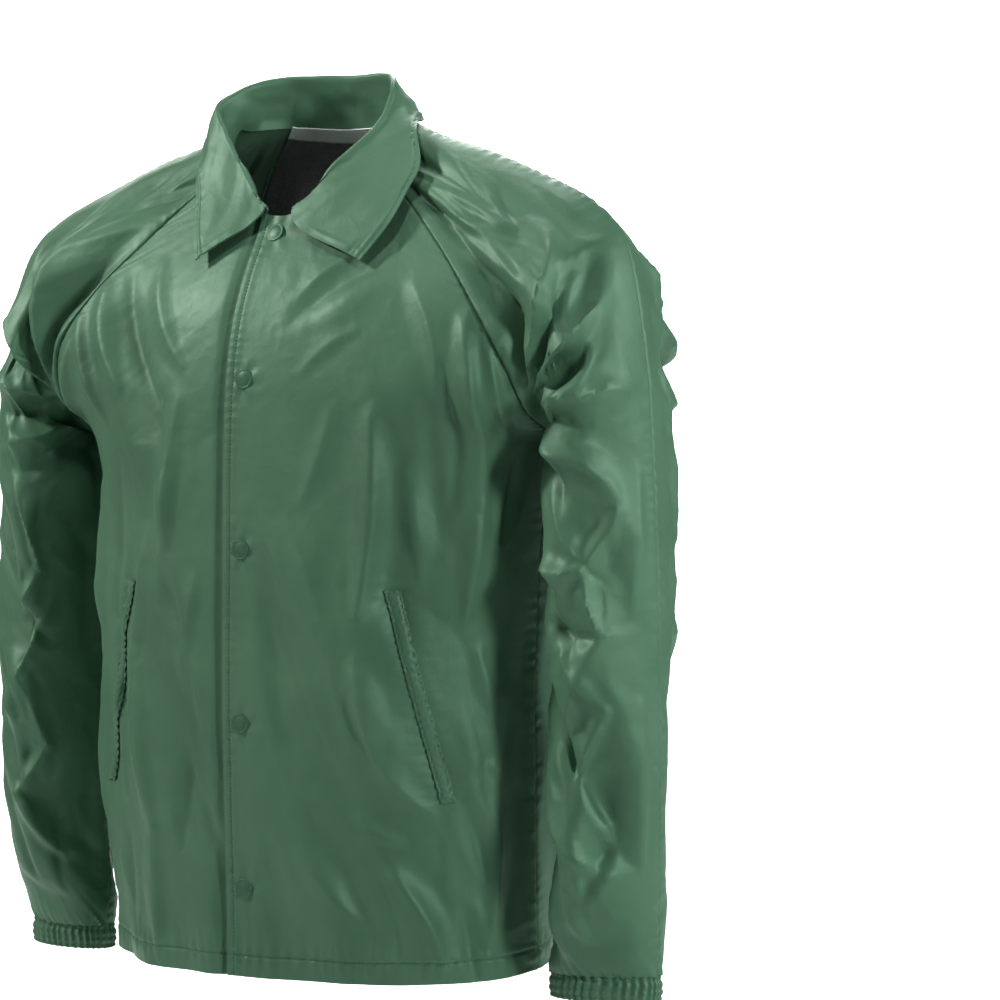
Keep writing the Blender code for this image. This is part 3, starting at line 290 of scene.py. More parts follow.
BACK_CREASES = (
    Crease(0.232, -0.200, 0.176, -0.350, 0.006, 0.015, 0.0050),
    Crease(0.176, -0.350, 0.140, -0.520, 0.004, 0.016, 0.0042),
    Crease(0.140, -0.520, 0.120, -0.720, 0.004, 0.016, 0.0036),
    Crease(0.250, -0.230, 0.208, -0.400, 0.006, 0.014, -0.0048),
    Crease(0.208, -0.400, 0.190, -0.640, 0.006, 0.016, -0.0036),
    Crease(0.262, -0.260, 0.250, -0.480, 0.004, 0.014, 0.0044),
    Crease(0.244, -0.480, 0.232, -0.700, 0.004, 0.015, 0.0044),
    Crease(0.200, -0.150, 0.160, -0.260, 0.004, 0.013, 0.0030),
    Crease(0.080, -0.260, 0.060, -0.420, 0.004, 0.020, 0.0022),
    Crease(0.060, -0.460, 0.040, -0.640, 0.004, 0.020, -0.0022),
    Crease(-0.228, -0.200, -0.182, -0.330, 0.006, 0.015, 0.0050),
    Crease(-0.182, -0.330, -0.160, -0.520, 0.004, 0.016, 0.0040),
    Crease(-0.160, -0.520, -0.150, -0.710, 0.004, 0.016, 0.0036),
    Crease(-0.246, -0.225, -0.212, -0.390, 0.006, 0.014, -0.0046),
    Crease(-0.212, -0.390, -0.198, -0.620, 0.006, 0.016, -0.0034),
    Crease(-0.260, -0.265, -0.248, -0.460, 0.004, 0.014, 0.0044),
    Crease(-0.242, -0.470, -0.228, -0.700, 0.004, 0.015, 0.0042),
    Crease(-0.195, -0.150, -0.150, -0.250, 0.004, 0.013, 0.0028),
    Crease(-0.070, -0.280, -0.086, -0.440, 0.004, 0.020, 0.0020),
    Crease(-0.040, -0.100, 0.040, -0.100, 0.004, 0.018, -0.0014),
)
SLEEVE_FRONT_LEFT_CREASES = (
    Crease(0.150, -0.380, 0.084, -0.385, 0.004, 0.012, 0.0055),
    Crease(0.084, -0.385, 0.050, -0.335, 0.003, 0.012, 0.0045),
    Crease(0.082, -0.388, 0.068, -0.440, 0.002, 0.011, 0.0045),
    Crease(0.140, -0.430, 0.070, -0.440, 0.003, 0.012, -0.0045),
    Crease(0.120, -0.450, 0.060, -0.505, 0.003, 0.013, 0.0050),
    Crease(0.060, -0.505, 0.085, -0.560, 0.002, 0.012, 0.0040),
    Crease(0.130, -0.510, 0.085, -0.560, 0.003, 0.012, -0.0045),
    Crease(0.085, -0.560, 0.052, -0.618, 0.003, 0.012, 0.0045),
    Crease(0.130, -0.590, 0.070, -0.640, 0.004, 0.013, 0.0050),
    Crease(0.052, -0.618, 0.078, -0.668, 0.002, 0.012, -0.0040),
    Crease(0.110, -0.650, 0.074, -0.705, 0.003, 0.011, 0.0040),
    Crease(0.022, -0.300, 0.030, -0.420, 0.002, 0.012, 0.0030),
    Crease(0.026, -0.500, 0.020, -0.640, 0.002, 0.012, 0.0030),
    Crease(0.100, -0.085, 0.060, -0.075, 0.002, 0.010, 0.0022),
)
SLEEVE_BACK_LEFT_CREASES = (
    Crease(0.056, -0.220, 0.050, -0.360, 0.004, 0.014, 0.0050),
    Crease(0.090, -0.300, 0.082, -0.440, 0.004, 0.013, -0.0045),
    Crease(0.130, -0.320, 0.104, -0.420, 0.003, 0.012, 0.0050),
    Crease(0.050, -0.400, 0.066, -0.520, 0.003, 0.013, 0.0046),
    Crease(0.110, -0.440, 0.090, -0.560, 0.003, 0.013, 0.0046),
    Crease(0.066, -0.540, 0.090, -0.640, 0.003, 0.013, 0.0044),
    Crease(0.120, -0.580, 0.080, -0.690, 0.003, 0.012, -0.0044),
    Crease(0.040, -0.560, 0.050, -0.680, 0.002, 0.012, -0.0036),
    Crease(0.090, -0.640, 0.070, -0.710, 0.002, 0.011, 0.0040),
)
SLEEVE_FRONT_RIGHT_CREASES = (
    Crease(0.090, -0.300, 0.137, -0.400, 0.003, 0.012, 0.0055),
    Crease(0.060, -0.330, 0.094, -0.420, 0.003, 0.012, -0.0045),
    Crease(0.137, -0.400, 0.094, -0.440, 0.003, 0.012, 0.0050),
    Crease(0.094, -0.440, 0.148, -0.470, 0.003, 0.012, -0.0045),
    Crease(0.150, -0.430, 0.100, -0.500, 0.003, 0.012, 0.0050),
    Crease(0.100, -0.500, 0.136, -0.565, 0.003, 0.012, 0.0050),
    Crease(0.060, -0.480, 0.098, -0.540, 0.003, 0.012, -0.0042),
    Crease(0.136, -0.565, 0.086, -0.610, 0.003, 0.012, 0.0048),
    Crease(0.086, -0.610, 0.130, -0.670, 0.003, 0.012, 0.0048),
    Crease(0.060, -0.600, 0.080, -0.690, 0.003, 0.012, -0.0042),
    Crease(0.140, -0.630, 0.110, -0.700, 0.003, 0.011, -0.0040),
    Crease(0.040, -0.400, 0.036, -0.540, 0.003, 0.013, 0.0036),
)
SLEEVE_BACK_RIGHT_CREASES = (
    Crease(0.058, -0.240, 0.060, -0.380, 0.004, 0.014, 0.0048),
    Crease(0.100, -0.310, 0.090, -0.450, 0.004, 0.013, -0.0044),
    Crease(0.130, -0.340, 0.110, -0.440, 0.003, 0.012, 0.0048),
    Crease(0.052, -0.420, 0.070, -0.530, 0.003, 0.013, 0.0044),
    Crease(0.108, -0.450, 0.092, -0.570, 0.003, 0.013, 0.0044),
    Crease(0.070, -0.550, 0.092, -0.650, 0.003, 0.013, 0.0042),
    Crease(0.118, -0.590, 0.082, -0.690, 0.003, 0.012, -0.0042),
)
# Pleats of the fan at the armpit: angle above the level line outwards, height of the ridge or hollow, reach
Pleat = namedtuple("Pleat", "angle height reach")
FAN = (
    Pleat(90, 0.0000, 0.12), Pleat(72, -0.0060, 0.15), Pleat(63, 0.0100, 0.21), Pleat(57, -0.0160, 0.19),
    Pleat(48, 0.0110, 0.25), Pleat(42, -0.0170, 0.21), Pleat(32, 0.0100, 0.22), Pleat(24, -0.0160, 0.19),
    Pleat(8, 0.0100, 0.21), Pleat(-4, -0.0120, 0.17), Pleat(-20, 0.0080, 0.17), Pleat(-33, -0.0090, 0.14),
    Pleat(-52, 0.0050, 0.13), Pleat(-75, 0.0000, 0.10),
)
FAN_ALONG, FAN_HEIGHT = 0.212, -0.252   # the armpit: length from the overarm seam, and height
FANS = {"sleeve_front_left": (0, 1.0), "sleeve_back_left": (4, 0.85),   # turn in degrees, share of the depth
        "sleeve_front_right": (-4, 0.85), "sleeve_back_right": (3, 0.8)}
CREASE_TIP = 0.0012      # rounding of a crease's line
CREASE_GAIN, CREASE_WIDEN = 1.6, 0.75   # all creases are this much deeper and wider than their tables say
CREASE_LEAN = 0.7        # width of a crease's steep side to that of its easy side
CREASE_HOLLOW = 0.18     # depth of the hollow beside a crease to the crease's own
CREASE_FADE = 0.008      # creases die out this near to a seam
SLEEVE_SEWN = ("bottom", "top", "first", "last")
STRIP_SHARE = 0.28       # share of a front's columns that lie in the strip at its centre edge

# Fullness and settling of the cloth
SIDE_LENGTH, ARM_LENGTH, RAGLAN_LENGTH = 0.478, 0.510, 0.270   # hem or cuff to armpit, armpit to neck
WELD = 2e-5              # points of two pieces this near to each other are one at their seam
CHEST_CALM, CHEST_FROM = 0.72, -0.40   # share of moves and facets that is missing above this height
SOFT_HOLD, HEM_HOLD = 0.30, 0.62   # how firmly the cloth is held to its form: all over, and in the hem
SLEEVE_FULL, SLEEVE_FULL_FROM = 0.060, -0.24   # extra length of the sleeves below this height
BODY_FULL, BODY_FULL_FROM = 0.025, -0.26       # extra girth of the body below this height
BENDING, PIN = 4.0, 1.0
HANG_STEPS = 26
MOVE_CAP = 0.014         # no point settles further than this
OUTLINE_KEPT = 0.85      # share of the sleeve's outward moves that its outer side is kept from
SLIM, SLIM_TO, SLIM_TOP, SLIM_FOOT = 0.013, 0.315, -0.275, -0.735   # how much, within which place and heights
KINK_REACH, KINK_HALF = 0.075, 0.042   # the rows at armpit height are smoothed this far up and down

# Crushed facets: size across and up, and depth
Crushed = namedtuple("Crushed", "across up depth")
CRUSHED_SLEEVE = (Crushed(0.046, 0.078, 0.0100), Crushed(0.022, 0.034, 0.0022))
CRUSHED_BODY = (Crushed(0.056, 0.160, 0.0066), Crushed(0.028, 0.055, 0.0020))

# Sewing: distances from the edges, and the relief beside a seam
HEM_STITCH, PLACKET_STITCH, COLLAR_STITCH = 0.0190, 0.0070, 0.0060
HEM_BAND_SHARE = 0.058   # share of the side seam that the hem's close rows take
GROOVE = 0.0011
RIM_PLACES = (0.0, 0.0007, 0.0016, 0.0030, 0.0050)   # close columns beside a seam
COLLAR_RIM = (0.0, 0.0015, 0.0030, 0.0045, 0.0060, 0.0075, 0.0095, 0.0120)
Relief = namedtuple("Relief", "depth reach period rise")   # the groove, then the gathers beside it
SEAM_RELIEF, TOP_SEAM_RELIEF = Relief(0.0008, 0.0085, 0.0110, 0.0014), Relief(0.0, 0.012, 0.012, 0.0006)
HEM_RELIEF, PLACKET_RELIEF = Relief(0.0012, 0.008, 0.0110, 0.0017), Relief(0.0010, 0.0040, 0.0085, 0.0013)
COLLAR_RELIEF = Relief(0.0009, 0.0038, 0.0075, 0.0011)
SLEEVE_GATHER, SLEEVE_GATHER_REACH = 0.0026, 0.022
THREAD, STITCH, STITCH_STEP = 0.00055, 0.0024, 0.0033
WELT_WIDTH, WELT_LENGTH = 0.014, 0.193
NEAR_ROWS = 0.03         # a point on a panel is looked for in rows this near to its height

# Colours, linear
SHELL_DARK, SHELL_LIGHT = (0.046, 0.112, 0.064), (0.060, 0.136, 0.080)
THREAD_GREEN = (0.020, 0.052, 0.030)
SNAP_DARK, SNAP_LIGHT = (0.030, 0.080, 0.045), (0.040, 0.100, 0.058)
# The lining's two greys are kept dark as painted shade from the collar, and the third colour is painted light for
# the pale band along its neck seam.
LINING_DARK_PAINTED_SHADE, LINING_LIGHT_PAINTED_SHADE, LINING_TOP_PAINTED_LIGHT = (0.085, 0.095, 0.090), (0.15, 0.165, 0.155), (0.78, 0.83, 0.79)

# Camera and light
CAMERA_TURN, CAMERA_AWAY, CAMERA_HEIGHT, CAMERA_LENS = 35.0, 3.4, -0.216, 134.5
CAMERA_ASIDE, CAMERA_DOWN = 0.0455, 0.03426   # aim, as parts of its way ahead
FLOOR, ROOM_LIGHT = -1.45, 0.012
BACKDROP_AWAY, BACKDROP_GLOW = 5.5, 0.85
LIGHTS = (
    ("key", (-2.20, -1.35, 1.40), (0.0, -0.1, -0.30), (0.4, 0.4), 86, (1.0, 0.99, 0.96)),
    ("fill", (-1.9, -2.9, 0.0), (-0.2, 0.0, -0.40), (1.4, 1.4), 11, (1.0, 1.0, 1.0)),
    ("side", (3.00, -0.95, 0.45), (0.1, 0.0, -0.40), (0.4, 0.7), 62, (0.98, 1.0, 1.0)),
    ("rim", (3.0, 1.4, 0.9), (0.2, 0.0, -0.30), (0.4, 1.2), 70, (0.97, 0.99, 1.0)),
    ("neck", (0.10, -0.40, 0.50), (0.02, 0.06, 0.00), (0.1, 0.1), 1.8, (1.0, 1.0, 1.0)),
    ("top", (-0.6, 1.2, 2.6), (0.0, 0.0, -0.2), (1.0, 1.0), 34, (1.0, 1.0, 1.0)),
    ("floor_wash", (-2.4, 3.4, 2.2), (-2.4, 3.4, -1.45), (2.5, 2.5), 330, (1.0, 1.0, 1.0)),
)

COLLAR_END_SEWN = 0.060   # the front ends are sewn this far up from the outer edge


def spline(knots, values, at):
    """Smooth curve through a table: cubic between rows, with each slope taken from the rows beside it."""
    knots, values, at = np.asarray(knots, float), np.asarray(values, float), np.atleast_1d(at).astype(float)
    if values.ndim == 1:
        values = values[:, None]
    steps = np.diff(knots)[:, None]
    rises = np.diff(values, axis=0) / steps
    slopes = np.empty_like(values)
    slopes[1:-1] = (rises[:-1] * steps[1:] + rises[1:] * steps[:-1]) / (steps[1:] + steps[:-1])
    slopes[0], slopes[-1] = rises[0], rises[-1]
    place = np.clip(np.searchsorted(knots, at) - 1, 0, len(knots) - 2)
    step = steps[place]
    t = ((at - knots[place])[:, None]) / step
    start, end = values[place], values[place + 1]
    out, into = slopes[place] * step, slopes[place + 1] * step
    return ((2 * t**3 - 3 * t**2 + 1) * start + (t**3 - 2 * t**2 + t) * out
            + (3 * t**2 - 2 * t**3) * end + (t**3 - t**2) * into)


def lengths_along(points):
    """Length of the way to each point of a line."""
    return np.concatenate([[0.0], np.cumsum(np.linalg.norm(np.diff(points, axis=0), axis=1))])


def seam_line(table):
    """Knots of a raglan seam as shares of its length, and its rows as numbers."""
    rows = np.array(table, float)
    way = lengths_along(rows[:, :3])
    return way / way[-1], rows


def curve_row(start, out, into, end, count=97):
    """Points on the cubic curve that leaves start towards out and comes to end from into."""
    t = np.linspace(0, 1, count)[:, None]
    return (1 - t) ** 3 * start + 3 * t * (1 - t) ** 2 * out + 3 * t**2 * (1 - t) * into + t**3 * end


def body_row(half, level):
    """One row of the body's left half, from the centre line to the side seam or raglan seam.

    half is -1 for the front and 1 for the back; level runs 0 to 1 up the side seam and 1 to 2 up the raglan."""
    centre = CENTRE_FRONT if half < 0 else CENTRE_BACK
    chest, neck = (FRONT_CHEST, FRONT_NECK) if half < 0 else (BACK_CHEST, BACK_NECK)
    heights, depths = np.array(centre).T
    if level <= 1:
        centre_height = HEM_HEIGHT + (chest - HEM_HEIGHT) * level
        side = np.array(SIDE_SEAM)
        side_height = HEM_HEIGHT + (ARMPIT_HEIGHT - HEM_HEIGHT) * level
        x, y, centre_reach, side_reach = spline(side[:, 0], side[:, 1:], side_height)[0]
        edge = np.array([x, y, side_height])
        into = edge + side_reach * unit(np.array([-0.05 * eased((level - 0.80) / 0.20), half, 0.0]))
    else:
        centre_height = chest + (neck - chest) * (level - 1)
        shares, rows = seam_line(RAGLAN_FRONT if half < 0 else RAGLAN_BACK)
        row = Seam(*spline(shares, rows, level - 1)[0])
        edge = np.array([row.x, row.y, row.z])
        away = np.array([row.body_x, row.body_y, row.body_z])
        into = edge + row.body_reach * away / np.linalg.norm(away)
        centre_reach = row.centre_reach
    start = np.array([0.0, spline(heights, depths, centre_height)[0, 0], centre_height])
    return curve_row(start, start + [centre_reach, 0.0, 0.0], into, edge)


def sleeve_row(half, level):
    """One row of the left sleeve's front (half -1) or back (1) part, from the overarm seam to its other edge.

    level runs -1 to 0 from the neck down the raglan seam and 0 to 1 down the arm."""
    if level < 0:
        share = -level
        shares, rows = seam_line(RAGLAN_FRONT if half < 0 else RAGLAN_BACK)
        row = Seam(*spline(shares, rows, share)[0])
        over = Over(share, *spline([o.share for o in OVERARM], [o[1:] for o in OVERARM], share)[0])
        start = np.array([over.x, over.y, over.z])
        leave = np.array([over.lean, half, over.drop])
        edge = np.array([row.x, row.y, row.z])
        away = np.array([row.arm_x, row.arm_y, row.arm_z])
        out = start + (over.front if half < 0 else over.back) * leave / np.linalg.norm(leave)
        into = edge + row.arm_reach * away / np.linalg.norm(away)
        return curve_row(start, out, into, edge)
    tube = Tube(level, *spline([s.share for s in SLEEVE], [s[1:] for s in SLEEVE], level)[0])
    start = np.array([tube.over_x, tube.over_y, tube.over_z])
    edge = np.array([tube.under_x, tube.under_y, tube.under_z])
    reach = half * (tube.front if half < 0 else tube.back)
    fade = 1 - eased(level / 0.14)
    seam = (RAGLAN_FRONT if half < 0 else RAGLAN_BACK)[0]
    out = start + abs(reach) * unit(np.array([0.0, half, -0.10 * fade]))
    into = edge + abs(reach) * unit(np.array([seam.arm_x * fade, half, seam.arm_z * fade]))
    return curve_row(start, out, into, edge)


def at_lengths(row, lengths):
    """Points of a row at these lengths from its start; a length below 0 is on the mirrored half."""
    way = lengths_along(row)
    found = np.stack([np.interp(np.abs(lengths), way, row[:, k]) for k in range(3)], axis=1)
    found[:, 0] = np.where(lengths < 0, -found[:, 0], found[:, 0])
    return found


def eased(t):
    """0 to 1, leaving and arriving smoothly."""
    t = np.clip(t, 0, 1)
    return t * t * (3 - 2 * t)


def lean(points):
    """Moves the neck a little towards the wearer's right, as the jacket hangs."""
    moved = np.array(points)
    moved[..., 0] += NECK_LEAN * eased((moved[..., 2] + 0.12) / 0.13)
    return moved


def settled(points):
    """The body's own hang: the neck leans, and the hem lifts towards the back."""
    moved = lean(points)
    behind = eased((moved[..., 1] - CENTRE_FRONT[0][1]) / (CENTRE_BACK[0][1] - CENTRE_FRONT[0][1]))
    near_hem = np.clip((moved[..., 2] - HEM_LIFT_FROM) / (HEM_HEIGHT - HEM_LIFT_FROM), 0, 1)
    moved[..., 2] += HEM_LIFT * behind * near_hem
    return moved


def unit(vectors):
    return vectors / np.maximum(np.linalg.norm(vectors, axis=-1, keepdims=True), 1e-12)


def ways_over(points):
    """Length across from the first column and up from the first row, along the cloth."""
    steps = np.linalg.norm(np.diff(points, axis=1), axis=2)
    across = np.concatenate([np.zeros((len(steps), 1)), np.cumsum(steps, axis=1)], axis=1)
    steps = np.linalg.norm(np.diff(points, axis=0), axis=2)
    up = np.concatenate([np.zeros((1, steps.shape[1])), np.cumsum(steps, axis=0)], axis=0)
    return across, up


def lattice(across, up, cell_across, cell_up, seed):
    """Smooth seeded waves between -1 and 1 over a cloth, with cells of this size across and up."""
    rng = np.random.default_rng(seed)
    u, v = across / cell_across, up / cell_up
    u, v = u - u.min(), v - v.min()
    values = rng.uniform(-1, 1, (int(u.max()) + 3, int(v.max()) + 3))
    i, j = u.astype(int), v.astype(int)
    s, t = u - i, v - j
    s, t = s * s * (3 - 2 * s), t * t * (3 - 2 * t)
    low = values[i, j] * (1 - s) + values[i + 1, j] * s
    high = values[i, j + 1] * (1 - s) + values[i + 1, j + 1] * s
    return low * (1 - t) + high * t


def facets(across, up, cell_across, cell_up, seed):
    """Flat facets that meet in straight creases, like cloth that was crushed: heights between -1 and 1."""
    rng = np.random.default_rng(seed)
    warp = 0.28
    u = across / cell_across + warp * lattice(across, up, 1.3 * cell_across, 1.3 * cell_up, seed + 1)
    v = up / cell_up + warp * lattice(across, up, 1.3 * cell_across, 1.3 * cell_up, seed + 2)
    u = u + 0.5 * v
    u, v = u - u.min(), v - v.min()
    values = rng.uniform(-1, 1, (int(u.max()) + 3, int(v.max()) + 3))
    i, j = u.astype(int), v.astype(int)
    s, t = u - i, v - j
    near, far = values[i, j], values[i + 1, j + 1]
    aside, above = values[i + 1, j], values[i, j + 1]
    lower = near + s * (aside - near) + t * (above - near)
    upper = far + (1 - s) * (above - far) + (1 - t) * (aside - far)
    return np.where(s + t < 1, lower, upper)


class Panel:
    """One cut piece as a grid: rows go up, and columns go from left to right as seen from outside."""

    def __init__(self, cut, points, lengths, across, up):
        self.cut = cut
        self.points = points          # outer face, row by row
        self.lengths = lengths        # each point's length from the centre line or overarm seam
        self.across, self.up = across, up   # the grid's own places, both rising
        self.refresh()

    def refresh(self):
        along = np.gradient(self.points, axis=1)
        rise = np.gradient(self.points, axis=0)
        self.normals = unit(np.cross(along, rise))

    def ways(self):
        return ways_over(self.points)

    def from_edges(self):
        """Length along the cloth from each point to the first, last, bottom and top edge."""
        across, up = self.ways()
        return {"first": across, "last": across[:, -1:] - across, "bottom": up, "top": up[-1:] - up}

    def from_seams(self, edges):
        away = self.from_edges()
        near = np.full(self.lengths.shape, 1.0)
        for edge in edges:
            near = np.minimum(near, away[edge])
        return near

    def fold(self, folds, fade):
        """Moves the points along their normals by each large fold's soft ridge or hollow."""
        heights = self.points[..., 2]
        moved = np.zeros(heights.shape)
        for fold in folds:
            start = np.array([fold.along_1, fold.height_1])
            run = np.array([fold.along_2, fold.height_2]) - start
            place = np.stack([self.lengths, heights], axis=-1) - start
            share = np.clip(place @ run / (run @ run), 0, 1)
            away = np.linalg.norm(place - share[..., None] * run, axis=-1)
            ends = FOLD_END + (1 - FOLD_END) * np.sin(math.pi * share)
            moved += fold.depth * np.exp(-((away / fold.width) ** 2) * 2) * ends
        self.points = self.points + self.normals * (moved * fade)[..., None]
        self.refresh()

    def crease(self, creases, fade, heights):
        """Moves the points along their normals by each crease: crisp at its line, hollow beside it."""
        moved = np.zeros(heights.shape)
        for crease in creases:
            start = np.array([crease.along_1, crease.height_1])
            run = np.array([crease.along_2, crease.height_2]) - start
            reach = np.linalg.norm(run)
            way, side = run / reach, np.array([-run[1], run[0]]) / reach
            place = np.stack([self.lengths, heights], axis=-1) - start
            share = place @ way / reach
            inside = np.clip(share, 0, 1)
            away = place @ side - crease.bow * 4 * inside * (1 - inside)
            beyond = np.abs(share - inside) * reach
            away = np.sqrt(away**2 + beyond**2) * np.sign(away)
            taper = 0.45 + 0.55 * np.sin(math.pi * np.clip(0.15 + 0.85 * inside, 0, 1))
            width = CREASE_WIDEN * crease.width * taper
            width = np.where(away > 0, width, width * CREASE_LEAN)
            tip = CREASE_TIP
            near = np.sqrt(away**2 + tip**2) - tip
            profile = np.exp(-near / width) - CREASE_HOLLOW * np.exp(-(((near - 2 * width) / width) ** 2))
            ends = np.clip(np.sin(math.pi * (0.12 + 0.76 * inside)), 0, 1)
            moved += CREASE_GAIN * crease.depth * profile * ends
        self.points = self.points + self.outwards * (moved * fade)[..., None]
        self.refresh()

    def fan(self, turn, share, fade):
        """Pleats with flat sides that spread out from the armpit over the sleeve."""
        aside = FAN_ALONG - self.lengths
        above = self.form_heights - FAN_HEIGHT
        angle = np.degrees(np.arctan2(above, aside)) + turn
        away = np.hypot(aside, above)
        order = sorted(FAN)
        height, reach = (np.interp(angle, [p.angle for p in order], values)
                         for values in ([p.height for p in order], [p.reach for p in order]))
        t = away / reach
        moved = height * eased(t / 0.50) * (1 - eased((t - 0.60) / 0.40))
        self.points = self.points + self.outwards * (share * moved * fade)[..., None]
        self.refresh()

    def at(self, length, height):
        """Point and outward direction on the panel at this length along a row and this height."""
        found = []
        near = np.abs(self.points[:, self.points.shape[1] // 2, 2] - height) < NEAR_ROWS
        for row, normals, lengths in zip(self.points[near], self.normals[near], self.lengths[near]):
            order = np.argsort(lengths)
            found.append([np.interp(length, lengths[order], values[order]) for values in [*row.T, *normals.T]])
        found = np.array(found)
        order = np.argsort(found[:, 2])
        values = [np.interp(height, found[order, 2], found[order, k]) for k in range(6)]
        return np.array(values[:3]), unit(np.array(values[3:]))


# Cut pieces: half of the body or sleeve (-1 front, 1 back), side (1 left, -1 right, 0 both),
# length of the first column from the centre line, sewn edges
Cut = namedtuple("Cut", "name half side start sewn folds creases")
CUTS = (
    Cut("front_left", -1, 1, -LAP, ("top", "last"), FRONT_LEFT_FOLDS, FRONT_LEFT_CREASES),
    Cut("front_right", -1, -1, -UNDERLAP, ("top", "first"), FRONT_RIGHT_FOLDS, FRONT_RIGHT_CREASES),
    Cut("back", 1, 0, 0.0, ("top", "first", "last"), BACK_FOLDS, BACK_CREASES),
    Cut("sleeve_front_left", -1, 1, 0.0, SLEEVE_SEWN, SLEEVE_FRONT_LEFT_FOLDS, SLEEVE_FRONT_LEFT_CREASES),
    Cut("sleeve_back_left", 1, 1, 0.0, SLEEVE_SEWN, SLEEVE_BACK_LEFT_FOLDS, SLEEVE_BACK_LEFT_CREASES),
    Cut("sleeve_front_right", -1, -1, 0.0, SLEEVE_SEWN, SLEEVE_FRONT_RIGHT_FOLDS, SLEEVE_FRONT_RIGHT_CREASES),
    Cut("sleeve_back_right", 1, -1, 0.0, SLEEVE_SEWN, SLEEVE_BACK_RIGHT_FOLDS, SLEEVE_BACK_RIGHT_CREASES),
)


def row_lengths(cut, reach, shares):
    """Lengths of a row's points from the centre line or overarm seam."""
    if cut.name.startswith("front"):
        strip = np.clip(shares / STRIP_SHARE, 0, 1)
        beyond = np.clip((shares - STRIP_SHARE) / (1 - STRIP_SHARE), 0, 1)
        return cut.start + (STRIP_END - cut.start) * strip + (reach - STRIP_END) * beyond
    if cut.name == "back":
        return reach * (1 - 2 * shares)
    return reach * (1 - shares)


def slimmed(points):
    """Draws the arm's inner side away from the body, so that a gap opens between them."""
    moved = np.array(points)
    side = np.sign(moved[..., 0])
    low = eased((SLIM_TOP - moved[..., 2]) / 0.10) * eased((moved[..., 2] - SLIM_FOOT) / 0.12)
    inner = eased((SLIM_TO - np.abs(moved[..., 0])) / 0.07)
    moved[..., 0] += side * SLIM * low * inner
    return moved


def soften_kink(panel, levels):
    """Rounds the body across the row at armpit height, except close to the armpits."""
    up = panel.ways()[1]
    middle = up[np.searchsorted(levels, 1.0)]
    near = np.exp(-(((up - middle) / KINK_REACH) ** 2))
    near = near * eased((panel.from_seams(set(panel.cut.sewn) - {"top"}) - 0.004) / 0.040)
    rough = np.concatenate([panel.points, panel.lengths[..., None]], axis=-1)
    smooth = rough.copy()
    for i in range(len(smooth)):
        weight = np.exp(-(((up - up[i]) / KINK_HALF) ** 2))[..., None]
        smooth[i] = (rough * weight).sum(axis=0) / weight.sum(axis=0)
    smooth = rough + (smooth - rough) * near[..., None]
    panel.points, panel.lengths = smooth[..., :3], smooth[..., 3]
    panel.refresh()


def cut_grid(cut, levels, shares):
    """The panel's form, with its large folds, at these levels up it and shares across it."""
    row_at = sleeve_row if cut.name.startswith("sleeve") else body_row
    rows, lengths = [], []
    for level in levels:
        row = row_at(cut.half, level)
        across = row_lengths(cut, lengths_along(row)[-1], shares)
        rows.append(at_lengths(row, across))
        lengths.append(across)
    points, lengths, places = np.array(rows), np.array(lengths), shares
    if cut.side < 0:
        points = points * [-1, 1, 1]
    turned = cut.name == "front_right" or (cut.name.startswith("sleeve") and cut.half * cut.side > 0)
    if turned:
        points, lengths, places = points[:, ::-1], lengths[:, ::-1], (1 - shares)[::-1]
    levels = np.array(levels)
    if cut.name.startswith("sleeve"):
        up = -np.where(levels > 0, levels * ARM_LENGTH, levels * RAGLAN_LENGTH)
    else:
        up = np.where(levels < 1, (levels - 1) * SIDE_LENGTH, (levels - 1) * RAGLAN_LENGTH)
    points = slimmed(lean(points)) if cut.name.startswith("sleeve") else settled(points)
    panel = Panel(cut, points, lengths, places, up)
    if not cut.name.startswith("sleeve"):
        soften_kink(panel, levels)
    panel.form_heights = panel.points[..., 2].copy()
    fade = eased(panel.from_seams(cut.sewn) / SEAM_FADE)
    if cut.name.startswith("front"):
        fade = fade * eased((lengths - PLACKET_FADE / 2) / PLACKET_FADE)
    panel.fold(cut.folds, fade)
    panel.outwards = panel.normals.copy()
    return panel


def coarse_levels(name):
    if name.startswith("sleeve"):
        return np.concatenate([np.linspace(1, 0, 64), -np.linspace(0, 1, 31)[1:]])
    return np.concatenate([np.linspace(0, 1, 60), 1 + np.linspace(0, 1, 31)[1:]])


def coarse_shares(name):
    count = {"front": 42, "back": 84, "sleeve": 25}[name.split("_")[0]]
    return np.linspace(0, 1, count + 1)


def fine_levels(name):
    """Close rows for the mesh that shows; they're closest in the hem."""
    raglan = np.linspace(0, 1, 93)[1:]
    if name.startswith("sleeve"):
        return np.concatenate([np.linspace(1, 0, 160), -raglan])
    hem = np.linspace(0, HEM_BAND_SHARE, 17)
    return np.concatenate([hem, np.linspace(HEM_BAND_SHARE, 1, 142)[1:], 1 + raglan])


def fine_shares(name):
    """Close columns for the mesh that shows; they're closest beside the seams and in the centre front strip."""
    part = name.split("_")[0]
    rim = np.array(RIM_PLACES)
    if part == "front":
        reach = 0.30
        strip = np.linspace(0, STRIP_SHARE, 35)
        beyond = np.concatenate([np.linspace(0, 1 - rim[-1] / reach, 88), 1 - rim[::-1][1:] / reach])
        return np.concatenate([strip, STRIP_SHARE + (1 - STRIP_SHARE) * beyond[1:]])
    reach, count = (0.68, 164) if part == "back" else (0.20, 56)
    return ends_close(count, RIM_PLACES, reach)


